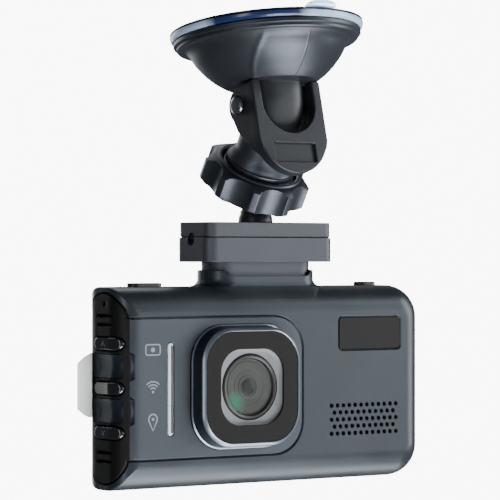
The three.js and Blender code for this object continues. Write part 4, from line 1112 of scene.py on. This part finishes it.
def lever():
    """Lever in its own frame: pin at the origin, plate hanging along -Z with its face towards -Y."""
    half, slot_half, front, back, low, slot_low = 11.6, 8.75, -7.6, -4.2, -21.2, -9.5
    top = 5.6
    face = arc(0, low + half, half, 180, 360, 40)
    face += arc(half - 0.8, top - 0.8, 0.8, 0, 90, 5)
    face += [(slot_half, top)] + arc(0, slot_low + slot_half, slot_half, 0, -180, 32) + [(-slot_half, top)]
    face += arc(0.8 - half, top - 0.8, 0.8, 90, 180, 5)
    plate_face = facing_front(plate([face], front, back, 0.45, 4))
    cam = arc(front + 5.6, 0, 5.6, 90, 180, 12)
    boss = arc(0, 0, 5, -40, 80, 16)
    side = boss + cam + [(front, -14), (back - 0.4, -15.6), (2.4, -6.9)]
    spans = ((0.02 - half, 0.02 - slot_half), (slot_half - 0.02, half - 0.02))
    around = arc(0, low + half, half - 0.03, 180, 360, 40) + [(half - 0.03, 8), (0.03 - half, 8)]
    trim = facing_front(plate([around], -20, 20, 0.02, 0))
    cheeks = [
        combined(facing_side(plate([side], *span, 0.35, 3)), [trim.copy()], "INTERSECT")
        for span in spans
    ]
    grip_levels = ((0, front + 0.8), (0, front + 0.2), (0.25, front - 0.02), (0.3, front - 1))
    grip = loft([[(u, y, v) for u, v in rounded(-6.9 - g, 6.9 + g, -17.9 - g, -12.5 + g, 0.5 + g)]
                 for g, y in grip_levels])
    plate_face = combined(plate_face, [grip])
    whole = combined(plate_face, cheeks, "UNION")
    bore = facing_side(plate([circle(0, 0, 1.8, 32)], -20, 20, 0.01, 0))
    marks = [(sign * 10.1, z) for sign in (-1, 1) for z in (2.7, -1.9)] + [(-9.4, -13.1), (9.4, -13.1)]
    dimples = [
        facing_front(plate([circle(x, z, 0.62, 20)], front - 1, front + 0.15, 0.02, 0))
        for x, z in marks
    ]
    whole = combined(whole, [bore, *dimples])
    piece("lever_plate", whole, LEVER, "lever", LEVER_PLASTIC, ["suction_lever"])


def pin():
    profile = softened([(0, 13.2), (1.7, 13.15), (2.45, 12.75), (2.7, 12.2), (2.7, 12.05), (1.5, 12.0),
                        (1.5, -12.1), (0, -12.1)], 0.1, 2, False)
    along_left = PIN @ Matrix.Rotation(math.radians(-90), 4, "Y")
    piece("rivet", lathe(profile, 64), along_left, "plunger_set", DARK_STEEL, ["lever_pin"])
    hexagon = circle(0, 0, 2.9, 6)
    hole = circle(0, 0, 1.8, 32)
    nut_plate = facing_side(plate([hexagon, hole], 12.05, 13.7, 0.25, 2))
    piece("hex_nut", nut_plate, PIN, "plunger_set", STEEL, ["pin_nut"])


# ------------------------------------------------------------------ rear, film, screws, card


def rear_face():
    glass = facing_front(plate([rounded(-39, 39, -21.5, 21.5, 1.2)], 18.7, 19.9, 0.2, 3))
    piece("screen_glass", glass, BODY, "camera", WINDOW_BLACK, ["display_glass"])
    film = facing_front(plate([rounded(-38.9, 38.9, -21.4, 21.4, 1)], 20.1, 20.22, 0.03, 1))
    tab = film_tab()
    piece("screen_film_tab", tab, BODY, "camera", FILM_WHITE, ["screen_film"])
    piece("screen_film_sheet", film, BODY, "camera", SCREEN_FILM)
    for name, sign in (("case_screw_left", -1), ("case_screw_right", 1)):
        head = [(0, 1.1), (1.2, 1.1), (1.75, 0.85), (1.9, 0.45), (1.9, 0), (1, 0), (1, -10.2), (0, -10.2)]
        screw = lathe(softened(head, 0.12, 2, False), 48)
        slots = [block(-1.15, 1.15, -0.2, 0.2, 0.5, 2), block(-0.2, 0.2, -1.15, 1.15, 0.5, 2)]
        seat = Matrix.Translation((sign * 44.5, 17.4, -19))
        to_rear = BODY @ seat @ Matrix.Rotation(math.radians(-90), 4, "X")
        piece(f"{name}_head", combined(screw, slots), to_rear, "camera", STEEL, [name])
    low, high = [BODY.inverted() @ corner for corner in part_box("memory_card")]
    card = facing_front(plate([rounded(low.x, high.x, low.z, high.z, 0.6)], low.y, high.y, 0.08, 1))
    piece("card", card, BODY, "card", SATIN_BLACK, ["memory_card"])


def film_tab():
    """Pull tab of the screen film: round the rear edge and out to the left."""
    thick = 0.18
    centre_x, centre_y = -WIDTH / 2 + END_ROUND, DEPTH - END_ROUND
    line = [(-39, 20.16)] + arc(centre_x, centre_y, END_ROUND + 0.45, 90, 170, 14)
    line += [(-52.3, 14.05), (-53.3, 13.75), (-55, 13.55), (-57.2, 13.45)]
    rings = []
    for k, (x, y) in enumerate(line):
        before, after = line[max(k - 1, 0)], line[min(k + 1, len(line) - 1)]
        along = Vector((after[0] - before[0], after[1] - before[1])).normalized()
        out = Vector((-along.y, along.x)) * -thick / 2
        taper = max(0, (-53 - x) / 4.2)
        high, low = 9.4 - 2.6 * taper ** 1.6, -7.9 + 2.4 * taper ** 1.6
        ring = []
        for s in range(7):
            ring.append((x + out.x, y + out.y, low + (high - low) * s / 6))
        for s in reversed(range(7)):
            ring.append((x - out.x, y - out.y, low + (high - low) * s / 6))
        rings.append(ring)
    return loft(rings)


front_panel()
left_end()
keys()
printed_icons()
lens()
laser_window()
saddle()
holder()
ball_stud()
locking_nut()
suction_head()
lever()
pin()
rear_face()

# ------------------------------------------------------------------ stage, lights, camera


def studio():
    low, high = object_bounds()
    middle = (low + high) / 2
    floor_z = low.z - 0.25
    reach, rise = 2.6, 1.1
    profile = [(0, floor_z), (reach - rise, floor_z)]
    for step in range(1, 9):
        turn = step * math.pi / 16
        profile.append((reach - rise + rise * math.sin(turn), floor_z + rise * (1 - math.cos(turn))))
    profile.append((reach, floor_z + 4))
    bowl = bmesh.new()
    steps = 64
    rows = []
    for radius, z in profile[1:]:
        rows.append([bowl.verts.new((radius * math.cos(2 * math.pi * k / steps),
                                     radius * math.sin(2 * math.pi * k / steps), z)) for k in range(steps)])
    bowl.faces.new(rows[0])
    for lower, upper in zip(rows, rows[1:]):
        for k in range(steps):
            bowl.faces.new((lower[k], lower[(k + 1) % steps], upper[(k + 1) % steps], upper[k]))
    mesh = bpy.data.meshes.new("studio_floor")
    bowl.to_mesh(mesh)
    bowl.free()
    mesh.shade_smooth()
    floor = bpy.data.objects.new("studio_floor", mesh)
    bpy.context.scene.collection.objects.link(floor)
    paper, _nodes, _links, shader = new_material("studio_paper")
    shader.inputs["Base Color"].default_value = (0.95, 0.95, 0.95, 1)
    shader.inputs["Roughness"].default_value = 1
    shader.inputs["Emission Color"].default_value = (1, 1, 1, 1)
    shader.inputs["Emission Strength"].default_value = 9
    mesh.materials.append(paper)
    floor.visible_glossy = False
    floor.visible_diffuse = False
    floor.visible_shadow = False
    floor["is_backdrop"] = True
    return middle


def softbox(name, middle, azimuth, elevation, distance, size, power, colour=(1, 1, 1)):
    """Square area light on a sphere round the object; azimuth 0 is the front, positive towards +X."""
    a, e = math.radians(azimuth), math.radians(elevation)
    way = Vector((math.sin(a) * math.cos(e), -math.cos(a) * math.cos(e), math.sin(e)))
    light = bpy.data.lights.new(name, "AREA")
    light.shape = "RECTANGLE"
    light.size, light.size_y = size
    light.energy = power
    light.color = colour
    lamp = bpy.data.objects.new(name, light)
    lamp.location = middle + way * distance
    lamp.rotation_euler = (-way).to_track_quat("-Z", "Y").to_euler()
    bpy.context.scene.collection.objects.link(lamp)


middle = studio()
softbox("front_right", middle, 64, 12, 1.1, (0.5, 1.0), 12)
softbox("low_front", middle, 4, -44, 0.9, (0.8, 0.4), 15)
softbox("under", middle, 70, -66, 0.9, (0.6, 0.5), 8)
softbox("front_wide", middle, 28, 2, 1.9, (1.6, 0.8), 9)
softbox("left_side", middle, -60, -2, 1.2, (0.25, 0.9), 3.5)
softbox("top_back", middle, 165, 50, 1.2, (1.0, 0.6), 5)
softbox("rear_fill", middle, 180, 5, 1.3, (0.8, 0.8), 5)

world = bpy.data.worlds.new("studio")
world.use_nodes = True
background = world.node_tree.nodes["Background"]
background.inputs["Color"].default_value = (0.5, 0.54, 0.6, 1)
background.inputs["Strength"].default_value = 0.22
bpy.context.scene.world = world


def camera():
    """Camera in front and to the left of the object, level with the middle of it."""
    lens_data = bpy.data.cameras.new("view")
    lens_data.lens = 190.8
    lens_data.sensor_width = 36
    lens_data.clip_start = 0.01
    eye = bpy.data.objects.new("view", lens_data)
    eye.location = BODY_PLACE + Vector((-426.66, -600.7, 35.47)) * MM
    way = Vector((0.5701, 0.8216, 0.0028))
    eye.rotation_euler = way.to_track_quat("-Z", "Y").to_euler()
    bpy.context.scene.collection.objects.link(eye)
    bpy.context.scene.camera = eye


camera()
